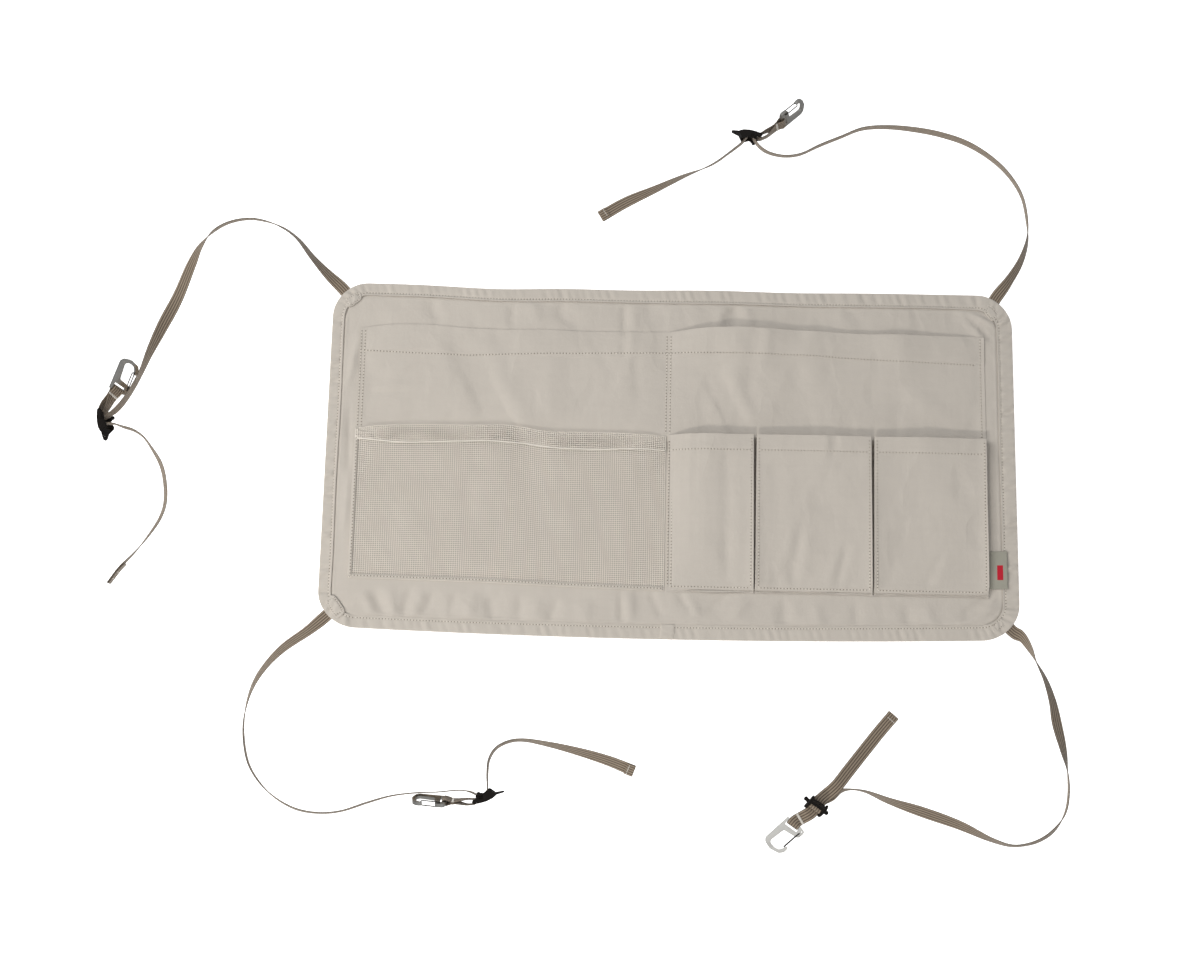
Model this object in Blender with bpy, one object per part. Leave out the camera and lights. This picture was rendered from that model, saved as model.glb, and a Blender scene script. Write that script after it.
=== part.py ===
"""Pocket organizer: a canvas panel with sewn pockets, hung by four webbing straps.

The panel lies flat with its back on the ground. X runs along its length, Y up its
height as it hangs, and Z out of the pockets. The origin is the middle of the back.
"""
import math

import bmesh
import bpy
from mathutils import Matrix, Vector

MM = 0.001

# Panel and the tape that binds its edge
PANEL_LENGTH = 850.0 * MM
PANEL_HEIGHT = 440.0 * MM
CORNER_RADIUS = 46.0 * MM
LOW_CORNER_RISE = 8.0 * MM
TOP_DIP = 4.0 * MM
TOP_DIP_AT = -218.0 * MM
TOP_DIP_REACH = 75.0 * MM
CANVAS = 1.0 * MM
BINDING_WIDTH = 18.0 * MM
BINDING_TAPE = 0.7 * MM
BINDING_LAP = 16.0 * MM
CLEARANCE = 0.3 * MM

# Pockets
POCKET_CLOTH = 0.8 * MM
POCKET_SIDE_MARGIN = 36.0 * MM
UPPER_MOUTH_Y = 167.0 * MM
UPPER_FOOT_Y = 24.0 * MM
UPPER_SWELL = 7.5 * MM
LOWER_MOUTH_Y = 36.0 * MM
LOWER_FOOT_Y = -158.0 * MM
DIVIDER_X = -4.0 * MM
SEAM_ALLOWANCE = 2.0 * MM
MESH_SWELL = 9.0 * MM
MESH_COLUMNS = 18
MESH_ROWS = 8
MESH_CORD = 2.4 * MM
MESH_HEM = 21.0 * MM
MESH_EDGE_TAPE = 5.0 * MM
BELLOWS_DEPTH = 13.0 * MM
BELLOWS_FOOT_DEPTH = 1.6 * MM
BELLOWS_FOLD = 8.0 * MM
BELLOWS_GAP = 3.2 * MM
BELLOWS_WIDTHS = (105.0 * MM, 141.0 * MM)
TAB_WIDTH = 23.0 * MM
TAB_HEIGHT = 46.0 * MM
TAB_TOP_Y = -105.0 * MM

# Webbing
WEBBING_WIDTH = 15.0 * MM
WEBBING = 1.3 * MM
ANCHOR_LENGTH = 16.0 * MM
ROUTE_STEP = 12.0 * MM
TURN_STEP = 2.2 * MM

# Ladder-lock buckle
BUCKLE_BAR_A = -13.2 * MM
BUCKLE_BAR_B = -1.0 * MM
BUCKLE_BAR_C = 9.8 * MM
BAR_A_RADIUS = 1.6 * MM
BAR_B_RADIUS = 1.9 * MM
RAIL_THICKNESS = 3.0 * MM
BUCKLE_SIDE_ROOM = 0.7 * MM
TAB_LENGTH = 12.0 * MM
TAB_ROOT = -0.2 * MM
TAB_RISE = 7.0
CORD_HOLE_RADIUS = 1.6 * MM
EAR_FOOT = (-3.4 * MM, -3.0 * MM)
EAR_TIP = (-7.4 * MM, -5.6 * MM)
EAR_REACH = 4.2 * MM

# Carabiner and its wire gate
PLATE = 4.0 * MM
HOOK_BAR = 3.6 * MM
HOOK_SLOT_END = 6.4 * MM
HOOK_SIDE_ROOM = 0.8 * MM
PIVOT_X = 5.9 * MM
PIVOT_Y = 11.4 * MM
WIRE = 1.3 * MM
GATE_END_X = 28.7 * MM
GATE_END_Y = 5.8 * MM

# Webbing loop between buckle and carabiner
TACK_AT = 9.5 * MM
TACK_LENGTH = 2.6 * MM

HALF_LENGTH = PANEL_LENGTH / 2
HALF_HEIGHT = PANEL_HEIGHT / 2
PANEL_BASE = BINDING_TAPE + CLEARANCE
PANEL_TOP = PANEL_BASE + CANVAS
BINDING_TOP = PANEL_TOP + CLEARANCE + BINDING_TAPE
STRAP_SEAT = PANEL_TOP + CLEARANCE + WEBBING / 2
CORNER_LIFT = WEBBING + CLEARANCE
POCKET_LEFT = -HALF_LENGTH + POCKET_SIDE_MARGIN
POCKET_RIGHT = HALF_LENGTH - POCKET_SIDE_MARGIN

CANVAS_COLOUR = (0.60, 0.56, 0.50)
WEBBING_COLOUR = (0.21, 0.17, 0.13)

# Where each strap leaves its corner, in degrees round the corner's arc, and its
# route after that in millimetres from there: x, y, turn of the webbing about its run
# (0 flat, 90 on edge), and the height of its middle where it isn't lying down.
ROUTES = {
    "tl": dict(
        exit=132.6,
        main=[(-23, 22, 31), (-43, 43, 57), (-64, 68, 71), (-84, 82, 72), (-107, 90, 80),
              (-128, 92, 80), (-153, 86, 80), (-171, 74, 78), (-186, 55, 45), (-196, 32, 20),
              (-211, -11, 0), (-227, -52, -40), (-239.5, -85, -69), (-247.5, -110, -85, 9),
              (-256.5, -134, -86, 13), (-267, -155, -83, 18)],
        tail=[(-262, -182.5, -92, 18), (-250, -185.5, -94, 13), (-239.5, -192, -97, 9),
              (-229, -205, -105),
              (-215, -227, -116), (-208, -253, -119), (-207, -276, -120), (-212, -294, -120),
              (-226, -318, -114), (-240, -337, -102), (-255, -354, -95),
              (-268, -373, -96)],
    ),
    "tr": dict(
        exit=58.0,
        main=[(18, 25, 36), (34, 52, 52), (43, 81, 70), (43, 105, 84), (37, 138, 84),
              (21, 166, 85), (-1, 188, 88), (-31, 207, 92), (-63, 218, 93), (-94, 224, 92),
              (-133, 227, 87), (-164, 224, 85), (-192, 212, 85), (-219, 200, 85),
              (-243, 188, 82), (-260, 185, 80), (-275, 186, 80, 9), (-288, 189, 82, 13)],
        tail=[(-334, 187, 83, 10), (-355, 172, 79), (-391, 156, 54),
              (-430, 137, 31), (-464, 121, 8), (-495, 102, 0)],
    ),
    "bl": dict(
        exit=223.7,
        main=[(-21, -19, 24), (-50, -41, 37), (-66, -58, 48), (-80, -79, 57), (-88, -101, 69),
              (-92, -130, 82), (-90, -155, 86), (-83, -180, 87), (-69, -201, 86),
              (-50, -218, 81), (-24, -231, 80), (5, -235, 84), (30, -232, 86), (59, -222, 86),
              (87, -213.5, 88), (117, -209.2, 89), (143, -207.7, 90), (163, -205.5, 90, 10),
              (176, -205.5, 90, 15)],
        tail=[(200.5, -186, 88, 11), (202, -168, 85), (210, -155, 82),
              (225, -147, 80), (241, -145, 78), (270, -149, 68), (307, -157, 52),
              (343, -167, 38), (373, -178, 28)],
    ),
    "br": dict(
        exit=317.0,
        main=[(13, -10, 50), (22, -24, 76), (29, -39, 104), (40, -61, 125), (48, -86, 141),
              (53, -113, 156), (59, -143, 138), (63, -172, 103), (63, -196, 97),
              (58, -218, 98), (45, -237, 113), (28, -249, 110), (9, -255, 103),
              (-7, -256, 100), (-29, -250, 107), (-66, -234, 132), (-108, -220, 142),
              (-150, -207, 117), (-177, -197, 97), (-193, -195, 93, 8),
              (-206, -197, 111, 8.4), (-217, -203, 144, 6.8)],
        tail=[(-213.5, -192.5, 0, 18.6), (-198.5, -174.5, 0, 14), (-179, -151, 0, 7),
              (-160, -128, 0, 2.6), (-142, -107, 0, 1.2)],
    ),
}

# How each strap's hardware lies: places in millimetres from the strap's exit, and
# turns in degrees (heading on the ground, roll about its own length, pitch). The lean
# is how far its loop follows its own length instead of the straight way between them.
HARDWARE = {
    "tl": dict(buckle=(-286.4, -176.4, 16.8), heading=-79.0, roll=101, pitch=0, lean=0.4,
               hook=(-274.5, -134.5, 13.4), hook_heading=60.0, hook_roll=-130),
    "tr": dict(buckle=(-308.5, 208.1, 17.9), heading=171.0, roll=84, pitch=0, lean=0.4,
               hook=(-267.5, 226, 18.6), hook_heading=49.0, hook_roll=72),
    "bl": dict(buckle=(199, -212.9, 17.7), heading=21.5, roll=96, pitch=0, lean=0.4,
               hook=(152.8, -217.8, 18.0), hook_heading=181.0, hook_roll=68),
    "br": dict(buckle=(-237, -217, 16.8), heading=56.0, roll=0, pitch=72, lean=0.0,
               hook=(-261.5, -236, 4.8), hook_heading=235.2, hook_roll=0),
}

# The strap's way through the buckle, as x and z in the buckle's own millimetres:
# along under it from its ring end, or straight in from the side.
ALONG_PATH = [(-13.0, -11.5), (-8.6, -7.0), (-5.6, -3.4), (-4.0, -0.2), (-2.8, 2.0),
              (-1.0, 2.9), (0.7, 2.3), (1.9, 0.6), (3.1, -2.4), (4.8, -5.8), (6.6, -9.6)]
SQUARE_PATH = [(-9.0, -13.0), (-7.6, -8.6), (-5.8, -4.2), (-4.4, -0.8), (-3.1, 1.9),
               (-1.0, 2.9), (1.0, 2.2), (2.2, 0.3), (3.0, -2.8), (3.6, -6.0), (4.2, -10.4)]
BUCKLE_PATHS = {"tl": SQUARE_PATH, "tr": ALONG_PATH, "bl": ALONG_PATH, "br": SQUARE_PATH}


def clear_scene():
    """Empties the file's scene."""
    for item in list(bpy.data.objects):
        bpy.data.objects.remove(item, do_unlink=True)


def material(name, colour, roughness, metallic=0.0):
    """A plain finish, made once for each name."""
    found = bpy.data.materials.get(name)
    if found:
        return found
    made = bpy.data.materials.new(name)
    made.use_nodes = True
    shader = made.node_tree.nodes["Principled BSDF"]
    shader.inputs["Base Color"].default_value = (*colour, 1.0)
    shader.inputs["Roughness"].default_value = roughness
    shader.inputs["Metallic"].default_value = metallic
    made.diffuse_color = (*colour, 1.0)
    return made


def canvas_finish():
    return material("canvas", CANVAS_COLOUR, 0.9)


def webbing_finish():
    return material("webbing", WEBBING_COLOUR, 0.8)


def mesh_from(bm, name):
    """Turns a bmesh into a named mesh whose faces point out."""
    bmesh.ops.recalc_face_normals(bm, faces=bm.faces)
    mesh = bpy.data.meshes.new(name)
    bm.to_mesh(mesh)
    bm.free()
    return mesh


def place(name, mesh, finish, matrix=None, smooth=False):
    """Puts a mesh in the scene as one named piece."""
    piece = bpy.data.objects.new(name, mesh)
    bpy.context.scene.collection.objects.link(piece)
    if not mesh.materials:
        mesh.materials.append(finish)
    if smooth:
        mesh.shade_smooth()
        mesh.set_sharp_from_angle(angle=math.radians(40))
    if matrix:
        piece.matrix_world = matrix
    return piece


def combined(mesh, others, operation):
    """The mesh with others joined to it or cut from it."""
    base = place("work", mesh, canvas_finish())
    tools = []
    for number, other in enumerate(others):
        tool = place(f"work_tool_{number}", other, canvas_finish())
        tool.hide_render = True
        tool.display_type = "WIRE"
        cut = base.modifiers.new(f"step_{number}", "BOOLEAN")
        cut.operation = operation
        cut.object = tool
        tools.append(tool)
    seen = base.evaluated_get(bpy.context.evaluated_depsgraph_get())
    made = bpy.data.meshes.new_from_object(seen)
    for item in [base, *tools]:
        bpy.data.objects.remove(item, do_unlink=True)
    made.materials.clear()
    return made


def box_mesh(low, high, matrix=None):
    """A box between two corners."""
    bm = bmesh.new()
    bmesh.ops.create_cube(bm, size=1.0)
    middle = (Vector(low) + Vector(high)) / 2
    size = Vector(high) - Vector(low)
    bmesh.ops.transform(bm, matrix=Matrix.Translation(middle) @ Matrix.Diagonal((*size, 1)),
                        verts=bm.verts)
    if matrix:
        bmesh.ops.transform(bm, matrix=matrix, verts=bm.verts)
    return mesh_from(bm, "box")


def prism_mesh(outline, low, high, matrix=None):
    """An outline in X and Y, extruded from the low to the high Z."""
    bm = bmesh.new()
    face = bm.faces.new([bm.verts.new((x, y, low)) for x, y in outline])
    made = bmesh.ops.extrude_face_region(bm, geom=[face])
    top = [v for v in made["geom"] if isinstance(v, bmesh.types.BMVert)]
    bmesh.ops.translate(bm, vec=(0, 0, high - low), verts=top)
    if matrix:
        bmesh.ops.transform(bm, matrix=matrix, verts=bm.verts)
    return mesh_from(bm, "prism")


def rod_mesh(radius, length, sides, matrix):
    """A rod along Z, centred, then moved by the matrix."""
    bm = bmesh.new()
    bmesh.ops.create_cone(bm, cap_ends=True, segments=sides, radius1=radius, radius2=radius,
                          depth=length, matrix=matrix)
    return mesh_from(bm, "rod")


def loft_mesh(rings, closed):
    """Skins rings of corners; a closed loft joins its last ring to its first."""
    bm = bmesh.new()
    loops = [[bm.verts.new(p) for p in ring] for ring in rings]
    count = len(loops[0])
    last = len(loops) if closed else len(loops) - 1
    for n in range(last):
        here, after = loops[n], loops[(n + 1) % len(loops)]
        for k in range(count):
            m = (k + 1) % count
            bm.faces.new((here[k], here[m], after[m], after[k]))
    if not closed:
        bm.faces.new(list(reversed(loops[0])))
        bm.faces.new(loops[-1])
    return mesh_from(bm, "loft")


def smoothstep(low, high, value):
    """0 below low, 1 above high and a smooth rise between."""
    t = min(1.0, max(0.0, (value - low) / (high - low)))
    return t * t * (3 - 2 * t)


def warp(x, y):
    """The lie of the panel's edge: low corners drawn up, a slack dip in the top."""
    share = y / HALF_HEIGHT
    if y < 0:
        return x, y - share * LOW_CORNER_RISE * (x / HALF_LENGTH) ** 2
    dip = TOP_DIP * math.exp(-((x - TOP_DIP_AT) / TOP_DIP_REACH) ** 2)
    return x, y - share * dip


def corner_centre(side_x, side_y):
    return (side_x * (HALF_LENGTH - CORNER_RADIUS), side_y * (HALF_HEIGHT - CORNER_RADIUS))


def rim_path():
    """Stations round the rim from the bottom middle: point, inward normal, corner share."""
    def edge(start, end, count, inward):
        for n in range(count):
            t = n / count
            yield (start[0] + t * (end[0] - start[0]), start[1] + t * (end[1] - start[1]),
                   inward, 0.0)

    def arc(side_x, side_y, start):
        cx, cy = corner_centre(side_x, side_y)
        steps = 8
        for n in range(steps):
            turn = math.radians(start + 90 * n / steps)
            out = Vector((math.cos(turn), math.sin(turn)))
            lump = smoothstep(0.0, 1.0, min(1.0, 1.6 * math.sin(math.pi * n / steps)))
            yield (cx + CORNER_RADIUS * out.x, cy + CORNER_RADIUS * out.y, -out, lump)

    x, y, r = HALF_LENGTH, HALF_HEIGHT, CORNER_RADIUS
    half_run = BINDING_LAP / 2
    up, down, left, right = Vector((0, 1)), Vector((0, -1)), Vector((-1, 0)), Vector((1, 0))
    yield from edge((half_run, -y), (x - r, -y), 5, up)
    yield from arc(1, -1, -90)
    yield from edge((x, -y + r), (x, y - r), 4, left)
    yield from arc(1, 1, 0)
    yield from edge((x - r, y), (-x + r, y), 12, down)
    yield from arc(-1, 1, 90)
    yield from edge((-x, y - r), (-x, -y + r), 4, right)
    yield from arc(-1, -1, 180)
    yield from edge((-x + r, -y), (half_run, -y), 6, up)
    yield (half_run, -y, up, 0.0)


def build_panel():
    """The flat canvas sheet that everything is sewn to."""
    inset = BINDING_TAPE + CLEARANCE
    outline = [warp(x + n.x * inset, y + n.y * inset) for x, y, n, _ in rim_path()]
    outline.pop()
    place("panel", prism_mesh(outline, PANEL_BASE, PANEL_TOP), canvas_finish())


def binding_section(x, y, inward, lump):
    """The tape's folded section, open towards the panel."""
    t, w, fold = BINDING_TAPE, BINDING_WIDTH, BINDING_TAPE * 0.9
    top = BINDING_TOP + CORNER_LIFT * lump
    profile = [(fold, 0), (0, fold), (0, top - fold), (fold, top), (w, top), (w, top - t),
               (t, top - t), (t, t), (w, t), (w, 0)]
    ring = []
    for u, z in profile:
        px, py = warp(x + inward.x * u, y + inward.y * u)
        ring.append((px, py, z))
    return ring


def corner_exit(corner):
    """Where a strap crosses the rim, and its way out."""
    side_x = 1 if corner.endswith("r") else -1
    side_y = 1 if corner.startswith("t") else -1
    cx, cy = corner_centre(side_x, side_y)
    turn = math.radians(ROUTES[corner]["exit"])
    out = Vector((math.cos(turn), math.sin(turn), 0))
    px, py = warp(cx + CORNER_RADIUS * out.x, cy + CORNER_RADIUS * out.y)
    return Vector((px, py, 0)), out


def build_binding():
    """The edge tape, its lapped end, and the gaps that let the straps out."""
    stations = list(rim_path())
    rings = [binding_section(*station) for station in stations]
    rings.pop()
    mesh = loft_mesh(rings, closed=False)
    slots = []
    room = CLEARANCE
    for corner in ROUTES:
        at, out = corner_exit(corner)
        frame = Matrix.Translation((at.x, at.y, STRAP_SEAT)) @ Matrix.Rotation(
            math.atan2(out.y, out.x), 4, "Z")
        half = Vector((BINDING_TAPE * 3, WEBBING_WIDTH / 2 + room, WEBBING / 2 + room))
        slots.append(box_mesh(-half, half, frame))
    mesh = combined(mesh, slots, "DIFFERENCE")
    place("edge_binding", mesh, canvas_finish())
    build_binding_lap()


def build_binding_lap():
    """The folded end of the tape, sewn over the two ends where they meet."""
    y = -HALF_HEIGHT
    t = BINDING_TAPE
    low = BINDING_TOP + CLEARANCE
    half = BINDING_LAP / 2 + 8 * MM
    sheet = box_mesh((-half, y + 1 * MM, low), (half, y + BINDING_WIDTH, low + t))
    place("binding_lap", sheet, canvas_finish())


def cloth(name, columns, rows, shape, thickness, holes=None, finish=None, side=1.0):
    """A sewn sheet: a grid shaped point by point, then given its thickness."""
    bm = bmesh.new()
    bmesh.ops.create_grid(bm, x_segments=len(columns) - 1, y_segments=len(rows) - 1, size=0.5)
    last_x, last_y = len(columns) - 1, len(rows) - 1
    spots = {}
    for vert in bm.verts:
        spots[vert] = (round((vert.co.x + 0.5) * last_x), round((vert.co.y + 0.5) * last_y))
    if holes:
        gone = []
        for face in bm.faces:
            column = min(spots[v][0] for v in face.verts)
            row = min(spots[v][1] for v in face.verts)
            if holes(column, row):
                gone.append(face)
        bmesh.ops.delete(bm, geom=gone, context="FACES")
    for vert in bm.verts:
        i, j = spots[vert]
        vert.co = shape(columns[i], rows[j])
    mesh = bpy.data.meshes.new(name)
    bm.to_mesh(mesh)
    bm.free()
    piece = place(name, mesh, finish or canvas_finish())
    skin = piece.modifiers.new("thickness", "SOLIDIFY")
    skin.thickness = thickness
    skin.offset = side
    return piece


def spread(low, high, count):
    """Evenly spaced values from low to high."""
    return [low + (high - low) * n / count for n in range(count + 1)]


def seam_height(y):
    """What a lower pocket is sewn down on: the upper pocket's foot, then the panel."""
    over = POCKET_CLOTH + CLEARANCE
    step = smoothstep(UPPER_FOOT_Y - 32 * MM, UPPER_FOOT_Y - 16 * MM, y)
    return PANEL_TOP + CLEARANCE + over * step


def swell_across(x, low, high):
    """0 on the seams at low and high, near 1 between them."""
    t = (x - low) / (high - low)
    return max(0.0, math.sin(math.pi * min(1.0, max(0.0, t)))) ** 0.6


def build_upper_pocket():
    """One sheet, open along the top and sewn down the middle into two compartments."""
    half_seam = SEAM_ALLOWANCE

    def height(x, y):
        if x < DIVIDER_X:
            across = swell_across(x, POCKET_LEFT + half_seam, DIVIDER_X - half_seam)
        else:
            across = swell_across(x, DIVIDER_X + half_seam, POCKET_RIGHT - half_seam)
        up = smoothstep(LOWER_MOUTH_Y + 6 * MM, UPPER_MOUTH_Y, y)
        return PANEL_TOP + CLEARANCE + UPPER_SWELL * across * up ** 0.7

    left = spread(POCKET_LEFT + half_seam, DIVIDER_X - half_seam, 10)
    right = spread(DIVIDER_X + half_seam, POCKET_RIGHT - half_seam, 10)
    columns = [POCKET_LEFT, *left, *right, POCKET_RIGHT]
    rows = [UPPER_FOOT_Y, *spread(LOWER_MOUTH_Y + 6 * MM, UPPER_MOUTH_Y, 6)]
    cloth("upper_pocket", columns, rows, lambda x, y: (x, y, height(x, y)), POCKET_CLOTH)


def mesh_height(x, y):
    """The face of the net, lifted at its mouth."""
    across = swell_across(x, POCKET_LEFT, DIVIDER_X - SEAM_ALLOWANCE)
    up = smoothstep(LOWER_FOOT_Y, LOWER_MOUTH_Y, y) ** 0.6
    return seam_height(y) + MESH_SWELL * across * up


def bar_lines(low, high, count, bar):
    """Pairs of lines for count gaps between bars from low to high."""
    pitch = (high - low - bar) / count
    lines = []
    for n in range(count + 1):
        lines += [low + n * pitch, low + n * pitch + bar]
    return lines


def build_mesh_pocket():
    """The net, its doubled hem at the mouth and the tape along its seam."""
    right = DIVIDER_X - SEAM_ALLOWANCE
    net_right = right - 0.5 * MM
    columns = bar_lines(POCKET_LEFT, net_right, MESH_COLUMNS, MESH_CORD)
    rows = bar_lines(LOWER_FOOT_Y, LOWER_MOUTH_Y, MESH_ROWS, MESH_CORD)
    finish = material("netting", (0.58, 0.55, 0.49), 0.85)
    cloth("mesh_pocket", columns, rows, lambda x, y: (x, y, mesh_height(x, y)), POCKET_CLOTH,
          holes=lambda i, j: i % 2 == 1 and j % 2 == 1, finish=finish)

    over = POCKET_CLOTH + CLEARANCE

    def hem(x, y):
        return x, y, mesh_height(x, y) + over + 0.5 * MM

    hem_columns = spread(POCKET_LEFT + MESH_EDGE_TAPE + 1 * MM, net_right - 1 * MM, 16)
    cloth("mesh_hem", hem_columns, spread(LOWER_MOUTH_Y - MESH_HEM, LOWER_MOUTH_Y + 0.6 * MM, 2),
          hem, POCKET_CLOTH * 0.8, finish=finish)

    low = LOWER_FOOT_Y - 1 * MM
    wide = MESH_EDGE_TAPE

    def tape(x, y):
        return x, y, seam_height(y) + POCKET_CLOTH + CLEARANCE + 0.9 * MM

    columns = [POCKET_LEFT - 1 * MM, POCKET_LEFT + wide, net_right - 1 * MM]
    rows = [low, low + wide, *spread(UPPER_FOOT_Y - 14 * MM, LOWER_MOUTH_Y, 3)]
    cloth("mesh_seam_tape", columns, rows, tape, POCKET_CLOTH * 0.7,
          holes=lambda i, j: i == 1 and j > 0)


def bellows_depth(y):
    """How far a pocket's face stands off its seam, from foot to mouth."""
    up = (y - LOWER_FOOT_Y) / (LOWER_MOUTH_Y - LOWER_FOOT_Y)
    return BELLOWS_FOOT_DEPTH + (BELLOWS_DEPTH - BELLOWS_FOOT_DEPTH) * max(0.0, up) ** 0.8


def build_bellows_pocket(name, left, right, fold_left, fold_right):
    """A face with pleated sides that tuck back under it to their seams."""
    # Each column: its place across, its share of the depth, whether it's tucked under.
    face = [(x, 1.0, False) for x in spread(left, right, 6)]
    tuck = BELLOWS_FOLD * 0.55
    if fold_left:
        profile = [(left + BELLOWS_FOLD, 0.0, True), (left + tuck, 0.0, True)] + face
    else:
        profile = [(left, 0.0, False), (left + 1.5 * MM, 0.0, False),
                   (left + 9 * MM, 0.8, False)] + face[1:]
    if fold_right:
        profile += [(right - tuck, 0.0, True), (right - BELLOWS_FOLD, 0.0, True)]
    crown = BELLOWS_DEPTH * 0.12
    columns = list(range(len(profile)))
    rows = spread(LOWER_FOOT_Y, LOWER_MOUTH_Y, 7)

    def shape(column, y):
        x, share, tucked = profile[column]
        t = (x - left) / (right - left)
        outer = 0.0 if tucked else POCKET_CLOTH
        bulge = crown * math.sin(math.pi * t) if share == 1.0 else 0.0
        return x, y, seam_height(y) + outer + share * bellows_depth(y) + bulge

    cloth(name, columns, rows, shape, POCKET_CLOTH, side=-1.0)


def build_bellows_pockets():
    """Three deep pockets side by side, each with its own mouth."""
    first, second = BELLOWS_WIDTHS
    left = DIVIDER_X + 1.0 * MM
    middle = left + first + BELLOWS_GAP
    right = middle + second + BELLOWS_GAP
    build_bellows_pocket("bellows_pocket_small", left, left + first, False, True)
    build_bellows_pocket("bellows_pocket_middle", middle, middle + second, True, True)
    build_bellows_pocket("bellows_pocket_end", right, POCKET_RIGHT - 2 * MM, True, True)


def build_side_tab():
    """A folded woven tab caught in the last pocket's side seam."""
    low = BINDING_TOP + CLEARANCE
    x = POCKET_RIGHT - 1 * MM
    layers = 1.2 * MM
    mesh = box_mesh((x, TAB_TOP_Y - TAB_HEIGHT, low), (x + TAB_WIDTH, TAB_TOP_Y, low + layers))
    tab = place("side_tab", mesh, material("woven_tab", (0.40, 0.40, 0.34), 0.85))
    soften = tab.modifiers.new("fold", "BEVEL")
    soften.width = layers * 0.3
    soften.segments = 1


def hardware_frame(corner, which):
    """World matrix of a corner's buckle or hook: X along it, Y across, Z its face."""
    at, _ = corner_exit(corner)
    data = HARDWARE[corner]
    spot = data["buckle"] if which == "buckle" else data["hook"]
    heading = data["heading"] if which == "buckle" else data["hook_heading"]
    roll = data["roll"] if which == "buckle" else data["hook_roll"]
    pitch = data["pitch"] if which == "buckle" else 0
    move = Matrix.Translation((at.x + spot[0] * MM, at.y + spot[1] * MM, spot[2] * MM))
    turn = (Matrix.Rotation(math.radians(heading), 4, "Z")
            @ Matrix.Rotation(math.radians(-pitch), 4, "Y")
            @ Matrix.Rotation(math.radians(roll), 4, "X"))
    return move @ turn


def smooth_through(points, step):
    """Centripetal curve through (point, across) pairs, sampled about every step."""
    made = []
    count = len(points)
    for n in range(count - 1):
        p1, b1 = points[n]
        p2, b2 = points[n + 1]
        p0, b0 = points[n - 1] if n else (p1 * 2 - p2, b1)
        p3, b3 = points[n + 2] if n + 2 < count else (p2 * 2 - p1, b2)
        t0 = 0.0
        t1 = t0 + math.sqrt((p1 - p0).length)
        t2 = t1 + math.sqrt((p2 - p1).length)
        t3 = t2 + math.sqrt((p3 - p2).length)
        pieces = max(1, round((p2 - p1).length / step))
        for k in range(pieces):
            t = t1 + (t2 - t1) * k / pieces

            def blend(q0, q1, q2, q3):
                a1 = q0 * ((t1 - t) / (t1 - t0)) + q1 * ((t - t0) / (t1 - t0))
                a2 = q1 * ((t2 - t) / (t2 - t1)) + q2 * ((t - t1) / (t2 - t1))
                a3 = q2 * ((t3 - t) / (t3 - t2)) + q3 * ((t - t2) / (t3 - t2))
                c1 = a1 * ((t2 - t) / (t2 - t0)) + a2 * ((t - t0) / (t2 - t0))
                c2 = a2 * ((t3 - t) / (t3 - t1)) + a3 * ((t - t1) / (t3 - t1))
                return c1 * ((t2 - t) / (t2 - t1)) + c2 * ((t - t1) / (t2 - t1))

            made.append((blend(p0, p1, p2, p3), blend(b0, b1, b2, b3).normalized()))
    made.append(points[-1])
    return made


def ribbon_rings(stations, closed=False):
    """Corners of the webbing's section at each (point, across) station."""
    rings = []
    count = len(stations)
    for n, (point, across) in enumerate(stations):
        before = stations[(n - 1) % count][0] if closed or n else point
        after = stations[(n + 1) % count][0] if closed or n + 1 < count else point
        along = (after - before).normalized()
        side = (across - along * across.dot(along)).normalized() * (WEBBING_WIDTH / 2)
        face = along.cross(side).normalized() * (WEBBING / 2)
        rings.append([point + side + face, point - side + face,
                      point - side - face, point + side - face])
    return rings


def lying(x, y, turn, along, height=None):
    """A station of a strap on the ground: its middle and the way across it."""
    lean = math.radians(turn)
    left = Vector((-along.y, along.x, 0)).normalized()
    across = left * math.cos(lean) + Vector((0, 0, math.sin(lean)))
    rest = CLEARANCE + abs(math.sin(lean)) * WEBBING_WIDTH / 2 + abs(math.cos(lean)) * WEBBING / 2
    z = rest if height is None else height * MM
    return Vector((x, y, z)), across


def route_stations(corner, points, lead, follow):
    """Stations for one stretch of route; lead and follow are its neighbours in plan."""
    at, _ = corner_exit(corner)
    plan = [Vector((at.x + p[0] * MM, at.y + p[1] * MM, 0)) for p in points]
    around = [lead, *plan, follow]
    made = []
    for n, (spot, point) in enumerate(zip(plan, points)):
        along = around[n + 2] - around[n]
        height = point[3] if len(point) > 3 else None
        made.append(lying(spot.x, spot.y, point[2], along, height))
    return made


def same_side(stations):
    """The stations with each way across turned to the side of the one before it."""
    made = stations[:1]
    for point, across in stations[1:]:
        facing = across.dot(made[-1][1])
        made.append((point, across if facing >= 0 else -across))
    return made


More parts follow.
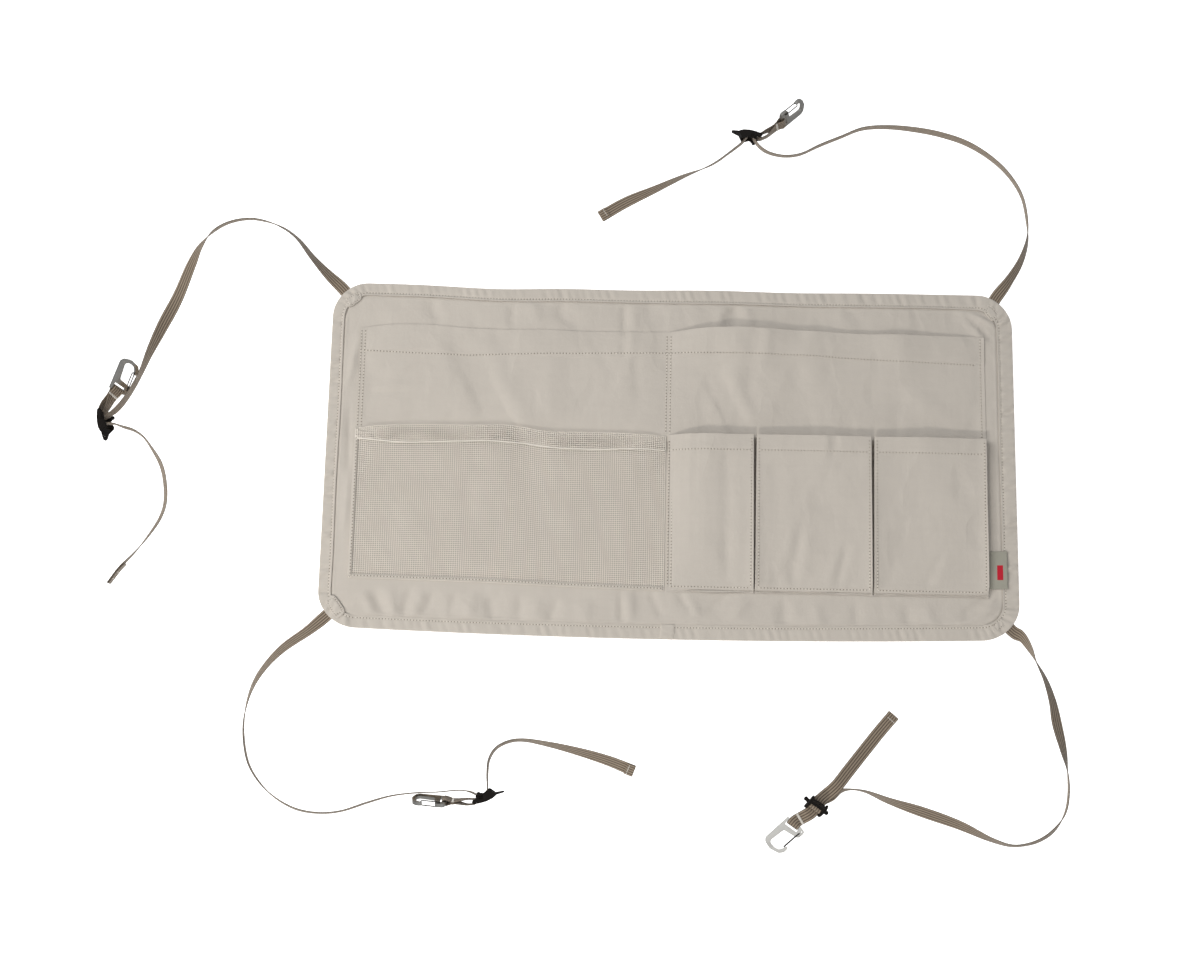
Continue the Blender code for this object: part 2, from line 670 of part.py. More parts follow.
def strap_stations(corner):
    """The whole strap: anchored end, run, way through the buckle and loose end."""
    at, out = corner_exit(corner)
    seat = Vector((0, 0, STRAP_SEAT))
    left = Vector((-out.y, out.x, 0))
    start = [(at + seat - out * ANCHOR_LENGTH, left), (at + seat - out * 3 * MM, left),
             (at + seat + out * 7 * MM, left)]
    frame = hardware_frame(corner, "buckle")
    turn = frame.to_3x3()
    inside = []
    for x, z in BUCKLE_PATHS[corner]:
        inside.append((frame @ Vector((x * MM, 0, z * MM)), turn @ Vector((0, 1, 0))))
    flat = [Vector((p.x, p.y, 0)) for p, _ in inside]
    data = ROUTES[corner]
    main = route_stations(corner, data["main"], at + out * 7 * MM, flat[0])
    tail = route_stations(corner, data["tail"], flat[-1], flat[-1])
    last = [Vector((p.x, p.y, 0)) for p, _ in tail[-2:]]
    end = data["tail"][-1]
    height = end[3] if len(end) > 3 else None
    tail[-1] = lying(last[1].x, last[1].y, end[2], last[1] - last[0], height)
    whole = same_side(start + main + inside + tail)
    main = whole[len(start):len(start) + len(main)]
    inside = whole[len(start) + len(main):len(whole) - len(tail)]
    tail = whole[len(whole) - len(tail):]
    coarse = smooth_through(start + main + inside[:1], ROUTE_STEP)[:-1]
    fine = smooth_through(main[-1:] + inside + tail[:1], TURN_STEP)
    enter = max(1, round((inside[0][0] - main[-1][0]).length / TURN_STEP))
    leave = max(1, round((tail[0][0] - inside[-1][0]).length / TURN_STEP))
    fine = fine[enter:len(fine) - 1 - leave]
    loose = smooth_through(inside[-1:] + tail, ROUTE_STEP * 0.8)
    return coarse + fine + loose


def build_strap(corner):
    """One length of webbing from the panel's corner, through the buckle, to its end."""
    stations = strap_stations(corner)
    place(f"strap_{corner}", loft_mesh(ribbon_rings(stations), closed=False), webbing_finish())


def buckle_mesh():
    """A moulded ladder lock: deep curved rails, three bars, lift tab and ears."""
    inner = WEBBING_WIDTH / 2 + BUCKLE_SIDE_ROOM
    outer = inner + RAIL_THICKNESS
    rail = [(-15.6, -1.0), (-14.2, -2.2), (-9.0, -3.0), (-3.5, -3.9), (1.5, -5.4), (5.5, -7.4),
            (8.2, -7.8), (10.0, -6.2), (13.8, -0.6), (13.8, 1.4), (8.5, 3.4), (1.0, 4.2),
            (-7.0, 3.6), (-13.6, 2.3), (-15.6, 1.1)]
    rail = [(x * MM, z * MM) for x, z in rail]
    stand = Matrix.Rotation(math.radians(90), 4, "X")
    base = prism_mesh(rail, -outer, -inner, stand)
    parts = [prism_mesh(rail, inner, outer, stand)]
    across = Matrix.Rotation(math.radians(90), 4, "X")
    length = 2 * inner + 1.2 * MM
    for x, radius in ((BUCKLE_BAR_A, BAR_A_RADIUS), (BUCKLE_BAR_B, BAR_B_RADIUS)):
        parts.append(rod_mesh(radius, length, 10, Matrix.Translation((x, 0, 0)) @ across))
    front = [(-1.8, -3.4), (0.4, -4.4), (2.8, -1.6), (3.4, 1.0), (-1.2, 2.6), (-2.7, 0.6)]
    front = [(BUCKLE_BAR_C + x * MM, z * MM) for x, z in front]
    parts.append(prism_mesh(front, -length / 2, length / 2, stand))
    root = BUCKLE_BAR_C + 1.8 * MM
    tip = root + TAB_LENGTH
    plan = [(root, outer - 0.6 * MM), (root + TAB_LENGTH * 0.42, outer * 0.72),
            (tip - 1.8 * MM, outer * 0.42), (tip, outer * 0.2)]
    plan = plan + [(x, -y) for x, y in reversed(plan)]
    lift = (Matrix.Translation((root, 0, TAB_ROOT))
            @ Matrix.Rotation(math.radians(-TAB_RISE), 4, "Y") @ Matrix.Translation((-root, 0, 0)))
    tab = prism_mesh(plan, -0.9 * MM, 0.9 * MM, lift)
    hole_at = lift @ Matrix.Translation((root + TAB_LENGTH * 0.62, 0, 0))
    tab = combined(tab, [rod_mesh(CORD_HOLE_RADIUS, 6 * MM, 10, hole_at)], "DIFFERENCE")
    parts.append(tab)
    for side in (-1, 1):
        foot = Vector((EAR_FOOT[0], side * (outer - RAIL_THICKNESS / 2), EAR_FOOT[1]))
        tip = Vector((EAR_TIP[0], side * (outer + EAR_REACH), EAR_TIP[1]))
        parts.append(ear_mesh(foot, tip))
    return combined(base, parts, "UNION")


def ear_mesh(foot, tip):
    """A thin stalk from foot to tip that flares to a blunt end."""
    way = (tip - foot).normalized()
    turn = way.to_track_quat("Z", "Y").to_matrix().to_4x4()
    neck = tip - way * 3.2 * MM
    rings = []
    for point, radius in ((foot, 1.2 * MM), (neck, 1.0 * MM), (tip - way * 0.5 * MM, 2.1 * MM),
                          (tip, 1.9 * MM)):
        at = Matrix.Translation(point) @ turn
        rings.append([at @ Vector((radius * math.cos(a), radius * math.sin(a), 0))
                      for a in spread(0, 2 * math.pi, 8)[:-1]])
    return loft_mesh(rings, closed=False)


def build_buckle(corner, mesh):
    place(f"buckle_{corner}", mesh, material("moulded_black", (0.012, 0.012, 0.011), 0.45),
          hardware_frame(corner, "buckle"))


def carabiner_mesh():
    """A flat plate hook: slotted bar for the webbing, slanted spine, open eye and nose."""
    half_slot = WEBBING_WIDTH / 2 + HOOK_SIDE_ROOM
    bar = HOOK_BAR / 2
    outline = [
        (-bar, half_slot), (-1.2 * MM, half_slot + 1.6 * MM), (0.4 * MM, 15.2 * MM),
        (3.0 * MM, 16.0 * MM), (9.2 * MM, 14.4 * MM), (11.3 * MM, 12.4 * MM),
        (11.6 * MM, 7.6 * MM), (12.8 * MM, -5.3 * MM), (30.2 * MM, -10.9 * MM),
        (33.0 * MM, -10.6 * MM), (34.6 * MM, -8.2 * MM), (35.8 * MM, -2.6 * MM),
        (34.6 * MM, 3.0 * MM), (30.6 * MM, 6.2 * MM), (26.6 * MM, 7.9 * MM),
        (26.9 * MM, 9.9 * MM), (30.2 * MM, 10.4 * MM), (34.2 * MM, 9.2 * MM),
        (38.3 * MM, 5.2 * MM), (40.0 * MM, -6.6 * MM), (36.4 * MM, -15.4 * MM),
        (32.0 * MM, -17.9 * MM), (1.8 * MM, -11.0 * MM), (-2.4 * MM, -10.2 * MM),
        (-3.4 * MM, -9.0 * MM), (-bar, -half_slot),
    ]
    plate = prism_mesh(outline, -PLATE / 2, PLATE / 2)
    slot = box_mesh((bar, -half_slot, -PLATE), (HOOK_SLOT_END, half_slot, PLATE))
    plate = combined(plate, [slot], "DIFFERENCE")
    body = place("work_plate", plate, canvas_finish())
    edge = body.modifiers.new("edge", "BEVEL")
    edge.width = 0.5 * MM
    edge.segments = 1
    edge.limit_method = "ANGLE"
    edge.angle_limit = math.radians(60)
    seen = body.evaluated_get(bpy.context.evaluated_depsgraph_get())
    plate = bpy.data.meshes.new_from_object(seen)
    bpy.data.objects.remove(body, do_unlink=True)
    plate.materials.clear()
    hole = WIRE / 2 + 0.35 * MM
    holes = [rod_mesh(hole, PLATE * 2, 10, Matrix.Translation((PIVOT_X, PIVOT_Y, 0))),
             rod_mesh(hole * 0.8, PLATE * 2, 8, Matrix.Translation((2.4 * MM, 13.2 * MM, 0)))]
    return combined(plate, holes, "DIFFERENCE")


def build_carabiner(corner, mesh):
    place(f"carabiner_{corner}", mesh, material("aluminium", (0.55, 0.56, 0.52), 0.35, 1.0),
          hardware_frame(corner, "hook"))


def gate_curve():
    """The bent wire of the gate, as one leg and its mirror image joined at the nose."""
    rise = PLATE / 2 + CLEARANCE + WIRE / 2
    reach = Vector((GATE_END_X - PIVOT_X, GATE_END_Y - PIVOT_Y, 0))
    way = reach.normalized()
    hinge = Vector((PIVOT_X, PIVOT_Y, 0))
    leg = [hinge + Vector((0, 0, PLATE * 0.22)), hinge + Vector((0, 0, rise - 0.9 * MM)),
           hinge + way * 0.35 * MM + Vector((0, 0, rise - 0.3 * MM)),
           hinge + way * 1.0 * MM + Vector((0, 0, rise))]
    bend = [math.radians(a) for a in (90, 62, 34, 10)]
    start = reach.length - rise
    leg += [hinge + way * (start + rise * math.cos(a)) + Vector((0, 0, rise * math.sin(a)))
            for a in bend]
    back = [Vector((p.x, p.y, -p.z)) for p in reversed(leg)]
    return leg + back


def build_gate(corner, path):
    """The wire gate, with its origin on its pivot."""
    curve = bpy.data.curves.new(f"wire_gate_{corner}", "CURVE")
    curve.dimensions = "3D"
    curve.bevel_depth = WIRE / 2
    curve.bevel_resolution = 1
    curve.use_fill_caps = True
    curve.resolution_u = 1
    curve.render_resolution_u = 0
    spline = curve.splines.new("POLY")
    spline.points.add(len(path) - 1)
    hinge = Vector((PIVOT_X, PIVOT_Y, 0))
    for point, spot in zip(spline.points, path):
        point.co = (*(spot - hinge), 1.0)
    piece = bpy.data.objects.new(f"wire_gate_{corner}", curve)
    bpy.context.scene.collection.objects.link(piece)
    curve.materials.append(material("steel_wire", (0.35, 0.34, 0.31), 0.3, 1.0))
    piece.matrix_world = hardware_frame(corner, "hook") @ Matrix.Translation(hinge)


def square_to(direction, across):
    """The direction with what runs along the webbing's width taken out of it."""
    return (direction - across * direction.dot(across)).normalized()


def loop_stations(corner):
    """The webbing ring: round the carabiner's bar, flat at its tack, round the buckle's bar."""
    hook = hardware_frame(corner, "hook")
    buckle = hardware_frame(corner, "buckle")
    start = hook.translation
    end = buckle @ Vector((BUCKLE_BAR_A, 0, 0))
    across_end = buckle.to_3x3() @ Vector((0, 1, 0))
    across_start = hook.to_3x3() @ Vector((0, 1, 0))
    if across_start.dot(across_end) < 0:
        across_start = -across_start
    span = (end - start).length
    straight = (end - start) / span
    lean = HARDWARE[corner]["lean"]
    away = square_to(straight - hook.to_3x3() @ Vector((lean, 0, 0)), across_start)
    towards = square_to(straight + buckle.to_3x3() @ Vector((lean, 0, 0)), across_end)
    ply = WEBBING / 2 + CLEARANCE / 2
    round_hook = math.hypot(HOOK_BAR / 2, PLATE / 2) + CLEARANCE + WEBBING / 2
    round_bar = BAR_A_RADIUS + 2 * CLEARANCE + WEBBING / 2

    def spot(s, w):
        """The point at s along the ring's middle and w off it, and the way across."""
        t = min(1.0, max(0.0, s / span))
        pull = span * 0.8
        h00, h10 = 2 * t**3 - 3 * t**2 + 1, t**3 - 2 * t**2 + t
        h01, h11 = -2 * t**3 + 3 * t**2, t**3 - t**2
        middle = start * h00 + away * (pull * h10) + end * h01 + towards * (pull * h11)
        d00, d10 = 6 * t**2 - 6 * t, 3 * t**2 - 4 * t + 1
        d01, d11 = -6 * t**2 + 6 * t, 3 * t**2 - 2 * t
        along = start * d00 + away * (pull * d10) + end * d01 + towards * (pull * d11)
        along.normalize()
        middle = middle + along * (s - t * span)
        share = smoothstep(0.15, 0.9, t)
        across = (across_start * (1 - share) + across_end * share).normalized()
        across = (across - along * across.dot(along)).normalized()
        return middle + along.cross(across) * w, across

    upper = [(TACK_AT, ply), (TACK_AT - 4.0 * MM, ply + 1.4 * MM)]
    for a in (65, 90, 120, 150):
        turn = math.radians(a)
        upper.append((round_hook * math.cos(turn), round_hook * math.sin(turn)))
    lower = [(s, -w) for s, w in reversed(upper)]
    far = [(TACK_AT + 4.5 * MM, -ply - 0.5 * MM), (span - 9 * MM, -round_bar - 0.4 * MM),
           (span - 4 * MM, -round_bar - 0.2 * MM)]
    bar = [(span + round_bar * math.cos(math.radians(a)), round_bar * math.sin(math.radians(a)))
           for a in (-90, -54, -18, 18, 54, 90)]
    back = [(s, -w) for s, w in reversed(far)]
    middle = [(-round_hook, 0.0)]
    profile = upper + middle + lower + far + bar + back
    stations = [spot(s, w) for s, w in profile]
    tack = [spot(TACK_AT - TACK_LENGTH / 2, 0), spot(TACK_AT + TACK_LENGTH / 2, 0)]
    return stations, tack


def build_loop(corner):
    """The short ring of webbing that joins a buckle to its carabiner."""
    stations, tack = loop_stations(corner)
    ring = loft_mesh(ribbon_rings(stations, closed=True), closed=True)
    rings = []
    depth = WEBBING + CLEARANCE
    for n, (point, across) in enumerate(tack):
        along = (tack[1][0] - tack[0][0]).normalized()
        side = across * (WEBBING_WIDTH / 2 - 0.6 * MM)
        face = along.cross(across).normalized() * depth
        rings.append([point + side + face, point - side + face,
                      point - side - face, point + side - face])
    sewn = loft_mesh(rings, closed=False)
    place(f"hook_loop_{corner}", combined(ring, [sewn], "UNION"), webbing_finish())


def main():
    clear_scene()
    build_panel()
    build_binding()
    build_upper_pocket()
    build_mesh_pocket()
    build_bellows_pockets()
    build_side_tab()
    buckle = buckle_mesh()
    carabiner = carabiner_mesh()
    wire = gate_curve()
    for corner in ROUTES:
        build_strap(corner)
        build_buckle(corner, buckle)
        build_carabiner(corner, carabiner)
        build_gate(corner, wire)
        build_loop(corner)


main()
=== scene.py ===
"""Looks of the pocket organizer: sewn canvas, net, webbing, buckles and carabiners.

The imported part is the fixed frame, and every piece made here lies in that frame, in
metres: X runs along the panel, Y up its height as it hangs, and Z out of its pockets.
"""
import logging
import math
import random
from dataclasses import dataclass, field
from enum import Enum
from typing import Callable, Iterable, Sequence

import bmesh
import bpy
import numpy as np
from mathutils import Matrix, Vector


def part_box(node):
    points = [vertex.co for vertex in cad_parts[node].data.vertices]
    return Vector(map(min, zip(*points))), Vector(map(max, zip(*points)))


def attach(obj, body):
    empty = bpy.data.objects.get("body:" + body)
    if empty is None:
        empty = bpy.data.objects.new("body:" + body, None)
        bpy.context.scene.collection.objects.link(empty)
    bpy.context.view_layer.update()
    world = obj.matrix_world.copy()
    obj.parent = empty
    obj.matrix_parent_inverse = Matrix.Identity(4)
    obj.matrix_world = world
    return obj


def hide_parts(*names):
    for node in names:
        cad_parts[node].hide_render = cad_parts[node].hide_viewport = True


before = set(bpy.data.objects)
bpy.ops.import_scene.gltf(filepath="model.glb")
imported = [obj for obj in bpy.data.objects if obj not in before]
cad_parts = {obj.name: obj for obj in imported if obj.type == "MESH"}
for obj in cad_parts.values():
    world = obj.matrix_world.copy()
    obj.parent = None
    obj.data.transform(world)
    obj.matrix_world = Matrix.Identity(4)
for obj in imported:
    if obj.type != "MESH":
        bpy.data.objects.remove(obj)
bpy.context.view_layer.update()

RELIEF = 1.5
MM = 0.001
LOG = logging.getLogger("organizer")

Colour = tuple[float, float, float]
Station = tuple[Vector, Vector]


class Corner(Enum):
    """A corner of the panel, by the name its parts carry."""

    TOP_LEFT = "tl"
    TOP_RIGHT = "tr"
    BOTTOM_LEFT = "bl"
    BOTTOM_RIGHT = "br"


def smoothstep(low: float, high: float, value):
    """Eases from 0 to 1.

    Args:
        low: Where the rise starts.
        high: Where it ends.
        value: A number or an array of them.

    Returns:
        0 below low, 1 above high and a smooth rise between.
    """
    t = np.clip((value - low) / (high - low), 0.0, 1.0)
    return t * t * (3 - 2 * t)


def eased(points: Sequence[tuple[float, float]], reach: float, value):
    """Reads a line given as points, with its corners rounded off.

    Args:
        points: Pairs of place and height in millimetres, in order.
        reach: How far either side the line is averaged over, in millimetres.
        value: A place or an array of them, in metres.

    Returns:
        The line's height there, in metres.
    """
    places, heights = zip(*points)
    shifts = (-1.0, -0.5, 0.0, 0.5, 1.0)
    spots = [value / MM + reach * s for s in shifts]
    return sum(np.interp(spot, places, heights) for spot in spots) / len(shifts) * MM


def turned(matrix: Matrix, point: Vector) -> Vector:
    """Turns a direction by a matrix, without moving it."""
    return matrix.to_3x3() @ point


def circle(count: int, radius: float = 1.0) -> list[tuple[float, float]]:
    """Evenly spaced points of a circle about the origin."""
    turns = (2 * math.pi * n / count for n in range(count))
    return [(radius * math.cos(turn), radius * math.sin(turn)) for turn in turns]


def height_at(surface: Callable, x: float, y: float) -> float:
    """Height of a surface at one place."""
    return float(surface(np.array([x]), np.array([y]))[0])


def mesh_of(name: str, bm: bmesh.types.BMesh) -> bpy.types.Mesh:
    """Turns a bmesh, which is freed, into a mesh."""
    mesh = bpy.data.meshes.new(name)
    bm.to_mesh(mesh)
    bm.free()
    return mesh


def object_of(name: str, data: bpy.types.ID) -> bpy.types.Object:
    """Puts a mesh, a lamp or a camera into the scene."""
    made = bpy.data.objects.new(name, data)
    bpy.context.scene.collection.objects.link(made)
    return made


def add_shape(bm: bmesh.types.BMesh, other: bmesh.types.BMesh) -> None:
    """Adds to a shape another one, which is freed."""
    mesh = mesh_of("work", other)
    bm.from_mesh(mesh)
    bpy.data.meshes.remove(mesh)


def draw_out(bm: bmesh.types.BMesh, faces: list, shift: tuple[float, float, float]) -> list:
    """Draws faces out by a shift, and returns what that made."""
    made = bmesh.ops.extrude_face_region(bm, geom=faces)["geom"]
    verts = [v for v in made if isinstance(v, bmesh.types.BMVert)]
    bmesh.ops.translate(bm, vec=shift, verts=verts)
    return made


def cut_plate(loops: Sequence[Sequence[tuple[float, float]]], low: float,
              depth: float) -> bmesh.types.BMesh:
    """A flat plate with holes.

    Args:
        loops: Its outline, then that of each hole.
        low: Height of its underside.
        depth: Its thickness.

    Returns:
        The plate.
    """
    bm = bmesh.new()
    edges = []
    for loop in loops:
        verts = [bm.verts.new((x, y, low)) for x, y in loop]
        edges += [bm.edges.new(pair) for pair in zip(verts, verts[1:] + verts[:1])]
    bmesh.ops.triangle_fill(bm, use_beauty=True, edges=edges)
    draw_out(bm, bm.faces[:], (0, 0, depth))
    bmesh.ops.recalc_face_normals(bm, faces=bm.faces)
    return bm


class Tree:
    """Adds and joins the nodes of one shader tree."""

    def __init__(self, tree: bpy.types.NodeTree) -> None:
        """Takes the tree to work in."""
        self.tree = tree

    def node(self, kind: str, **settings) -> bpy.types.Node:
        """Adds a node.

        Args:
            kind: The node's type, without its ShaderNode prefix.
            **settings: Properties to set on it.

        Returns:
            The node.
        """
        made = self.tree.nodes.new(f"ShaderNode{kind}")
        for name, value in settings.items():
            setattr(made, name, value)
        return made

    def put(self, target, value) -> None:
        """Links a socket to the target, or sets a plain value on it."""
        if isinstance(value, bpy.types.NodeSocket):
            self.tree.links.new(value, target)
        else:
            target.default_value = value

    def math(self, operation: str, a, b=0.0, clamp: bool = False) -> bpy.types.NodeSocket:
        """Works out one operation on two values or sockets."""
        made = self.node("Math", operation=operation, use_clamp=clamp)
        self.put(made.inputs[0], a)
        self.put(made.inputs[1], b)
        return made.outputs[0]

    def mix(self, share, a, b) -> bpy.types.NodeSocket:
        """Mixes two colours by a share."""
        made = self.node("Mix", data_type="RGBA")
        self.put(made.inputs[0], share)
        self.put(made.inputs[6], a)
        self.put(made.inputs[7], b)
        return made.outputs[2]

    def place(self) -> bpy.types.NodeSocket:
        """Where a point of the object's surface lies, in metres."""
        return self.node("TexCoord").outputs["Object"]

    def noise(self, vector, scale: float, detail: float = 3.0) -> bpy.types.NodeSocket:
        """Soft noise of a scale, from 0 to 1."""
        made = self.node("TexNoise")
        self.put(made.inputs["Vector"], vector)
        self.put(made.inputs["Scale"], scale)
        self.put(made.inputs["Detail"], detail)
        return made.outputs["Fac"]

    def stretch(self, vector, scale: Vector) -> bpy.types.NodeSocket:
        """Stretches a pattern's space along its axes."""
        made = self.node("Mapping")
        self.put(made.inputs["Vector"], vector)
        made.inputs["Scale"].default_value = scale
        return made.outputs["Vector"]

    def use(self, group: bpy.types.NodeTree, **inputs) -> bpy.types.Node:
        """Places a shared effect with its own values."""
        made = self.node("Group")
        made.node_tree = group
        for name, value in inputs.items():
            self.put(made.inputs[name.replace("_", " ")], value)
        return made


class Effects:
    """The effects that several materials share, each built once as a node group."""

    def __init__(self) -> None:
        """Builds every shared effect."""
        self.weave = self._weave()
        self.ribs = self._ribs()
        self.tone = self._tone()
        self.crumple = self._crumple()
        self.grain = self._grain()
        self.rub = self._rub()

    @staticmethod
    def _group(name: str, numbers: dict[str, float], outputs: Iterable[str]) -> tuple:
        """Starts a node group that takes a place and some numbers.

        Args:
            name: The group's name.
            numbers: Its number inputs with their defaults.
            outputs: Names of its number outputs.

        Returns:
            The group, its tree helper, what it is given and what it makes.
        """
        group = bpy.data.node_groups.new(name, "ShaderNodeTree")
        add = group.interface.new_socket
        add("Vector", in_out="INPUT", socket_type="NodeSocketVector")
        for label, value in numbers.items():
            add(label, in_out="INPUT", socket_type="NodeSocketFloat").default_value = value
        for label in outputs:
            add(label, in_out="OUTPUT", socket_type="NodeSocketFloat")
        given, made = (group.nodes.new(f"NodeGroup{way}") for way in ("Input", "Output"))
        return group, Tree(group), given.outputs, made.inputs

    def _weave(self) -> bpy.types.NodeTree:
        """Plain weave: one small hump for each crossing of two threads, and a mask of painted shade
        for the gaps between them.
        """
        group, tree, given, made = self._group("plain_weave", {"Pitch": 0.0008}, ("Height", "GapShade"))
        split = tree.node("SeparateXYZ")
        tree.put(split.inputs[0], given["Vector"])
        waves = []
        for axis in (0, 1):
            turns = tree.math("DIVIDE", split.outputs[axis], given["Pitch"])
            wave = tree.math("SINE", tree.math("MULTIPLY", turns, math.pi))
            waves.append(tree.math("ABSOLUTE", wave))
        hump = tree.math("MULTIPLY", waves[0], waves[1])
        tree.put(made["Height"], tree.math("POWER", hump, 0.6))
        tree.put(made["GapShade"], tree.math("SUBTRACT", 1.0, tree.math("POWER", hump, 0.25)))
        return group

    def _ribs(self) -> bpy.types.NodeTree:
        """Webbing: ribs along its length, each crossed by fine picks, and a mask of painted shade
        between the ribs.
        """
        group, tree, given, made = self._group(
            "webbing_ribs", {"Ribs": 8.0, "Pick": 0.0011}, ("Height", "GapShade"))
        split = tree.node("SeparateXYZ")
        tree.put(split.inputs[0], given["Vector"])
        across = tree.math("MULTIPLY", split.outputs[1], given["Ribs"])
        rib = tree.math("ABSOLUTE", tree.math("SINE", tree.math("MULTIPLY", across, math.pi)))
        along = tree.math("DIVIDE", split.outputs[0], given["Pick"])
        half = tree.math("MULTIPLY", tree.math("FLOOR", across), 0.5)
        pick = tree.math("SINE", tree.math("MULTIPLY", tree.math("ADD", along, half), math.pi))
        pick = tree.math("MULTIPLY", tree.math("ABSOLUTE", pick), 0.45)
        height = tree.math("MULTIPLY", rib, tree.math("ADD", pick, 0.55))
        tree.put(made["Height"], height)
        tree.put(made["GapShade"], tree.math("POWER", tree.math("SUBTRACT", 1.0, rib), 1.15))
        return group

    def _tone(self) -> bpy.types.NodeTree:
        """Uneven dye: broad clouds, and slubs that run with the threads."""
        group, tree, given, made = self._group(
            "cloth_tone", {"Cloud": 9.0, "Slub": 160.0}, ("Tone",))
        cloud = tree.noise(given["Vector"], given["Cloud"], 4.0)
        streak = tree.stretch(given["Vector"], Vector((0.12, 1.0, 1.0)))
        weft = tree.noise(streak, given["Slub"], 2.0)
        streak = tree.stretch(given["Vector"], Vector((1.0, 0.12, 1.0)))
        warp = tree.noise(streak, given["Slub"], 2.0)
        slubs = tree.math("MULTIPLY", tree.math("ADD", weft, warp), 0.25)
        tree.put(made["Tone"], tree.math("ADD", tree.math("MULTIPLY", cloud, 0.5), slubs))
        return group

    def _crumple(self) -> bpy.types.NodeTree:
        """Soft creases of cloth that was folded away, some broad and some short."""
        group, tree, given, made = self._group("soft_crumple", {"Scale": 26.0}, ("Height",))
        bend = tree.node("TexNoise")
        tree.put(bend.inputs["Vector"], given["Vector"])
        bend.inputs["Scale"].default_value = 14.0
        shift = tree.node("VectorMath", operation="SCALE")
        tree.put(shift.inputs[0], bend.outputs["Color"])
        shift.inputs["Scale"].default_value = 0.03
        moved = tree.node("VectorMath", operation="ADD")
        tree.put(moved.inputs[0], given["Vector"])
        tree.put(moved.inputs[1], shift.outputs[0])
        drawn = tree.stretch(moved.outputs[0], Vector((1.0, 0.55, 1.0)))
        broad = tree.noise(drawn, given["Scale"], 1.0)
        ridge = tree.math("ABSOLUTE", tree.math("SUBTRACT", broad, 0.5))
        fine = tree.noise(moved.outputs[0], 90.0, 2.0)
        crease = tree.math("SUBTRACT", broad, tree.math("MULTIPLY", ridge, 0.9))
        total = tree.math("ADD", crease, tree.math("MULTIPLY", fine, 0.16))
        tree.put(made["Height"], total)
        return group

    def _grain(self) -> bpy.types.NodeTree:
        """Fine grain of a moulded or tumbled surface."""
        group, tree, given, made = self._group("fine_grain", {"Scale": 2500.0}, ("Height", "Tone"))
        fine = tree.noise(given["Vector"], given["Scale"], 2.0)
        broad = tree.noise(given["Vector"], 180.0, 3.0)
        tree.put(made["Height"], fine)
        tree.put(made["Tone"], broad)
        return group

    def _rub(self) -> bpy.types.NodeTree:
        """Patches where handling has rubbed a surface."""
        group, tree, given, made = self._group(
            "handling_rub", {"Scale": 140.0, "Reach": 0.55}, ("Mask",))
        patch = tree.noise(given["Vector"], given["Scale"], 5.0)
        above = tree.math("SUBTRACT", patch, given["Reach"])
        tree.put(made["Mask"], tree.math("MULTIPLY", above, 8.0, clamp=True))
        return group


@dataclass(frozen=True)
class Finish:
    """A surface finish, whose material is made the first time a piece wears it."""

    name: str
    slot: str
    colour: Colour
    roughness: float

    def shade(self, factor: float) -> tuple[float, float, float, float]:
        """The finish's colour made lighter or darker by a factor."""
        return (*(min(1.0, c * factor) for c in self.colour), 1.0)

    def material(self, effects: Effects) -> bpy.types.Material:
        """Makes the finish's material, or finds it if it was made before.

        Args:
            effects: The shared node groups.

        Returns:
            The material.
        """
        found = bpy.data.materials.get(self.name)
        if found:
            return found
        made = bpy.data.materials.new(self.name)
        made.use_nodes = True
        shader = made.node_tree.nodes["Principled BSDF"]
        shader.inputs["Roughness"].default_value = self.roughness
        self.dress(Tree(made.node_tree), shader, effects)
        made.diffuse_color = (*self.colour, 1.0)
        return made

    def dress(self, tree: Tree, shader: bpy.types.Node, effects: Effects) -> None:
        """Joins the finish's own nodes to the shader."""
        shader.inputs["Base Color"].default_value = (*self.colour, 1.0)

    @staticmethod
    def bump(tree: Tree, shader: bpy.types.Node, height, depth: float) -> None:
        """Raises the shader's surface by a height, over a real depth in metres."""
        made = tree.node("Bump")
        made.inputs["Strength"].default_value = 1.0
        made.inputs["Distance"].default_value = depth
        tree.put(made.inputs["Height"], height)
        tree.put(shader.inputs["Normal"], made.outputs["Normal"])


@dataclass(frozen=True)
class WovenFinish(Finish):
    """Plain woven cloth on the piece's own X and Y."""

    pitch: float = 0.8 * MM
    relief: float = 0.09 * MM
    uneven: float = 0.10
    sheen: float = 0.12
    crumple: float = 3.0 * MM

    def dress(self, tree: Tree, shader: bpy.types.Node, effects: Effects) -> None:
        """Weave in relief, with painted shade in the gaps between threads, and uneven dye."""
        place = tree.place()
        tone = tree.use(effects.tone, Vector=place).outputs["Tone"]
        weave = tree.use(effects.weave, Vector=place, Pitch=self.pitch)
        clear = tree.mix(tone, self.shade(1 - self.uneven), self.shade(1 + self.uneven))
        # Painted shade: the colour is darkened where the threads leave gaps.
        depth = tree.math("MULTIPLY", weave.outputs["GapShade"], 0.30)
        tree.put(shader.inputs["Base Color"], tree.mix(depth, clear, self.shade(0.55)))
        shader.inputs["Sheen Weight"].default_value = self.sheen
        shader.inputs["Sheen Roughness"].default_value = 0.5
        creases = tree.use(effects.crumple, Vector=place).outputs["Height"]
        creases = tree.math("MULTIPLY", creases, self.crumple / self.relief)
        rise = tree.math("ADD", weave.outputs["Height"], tree.math("MULTIPLY", tone, 1.5))
        self.bump(tree, shader, tree.math("ADD", rise, creases), self.relief)


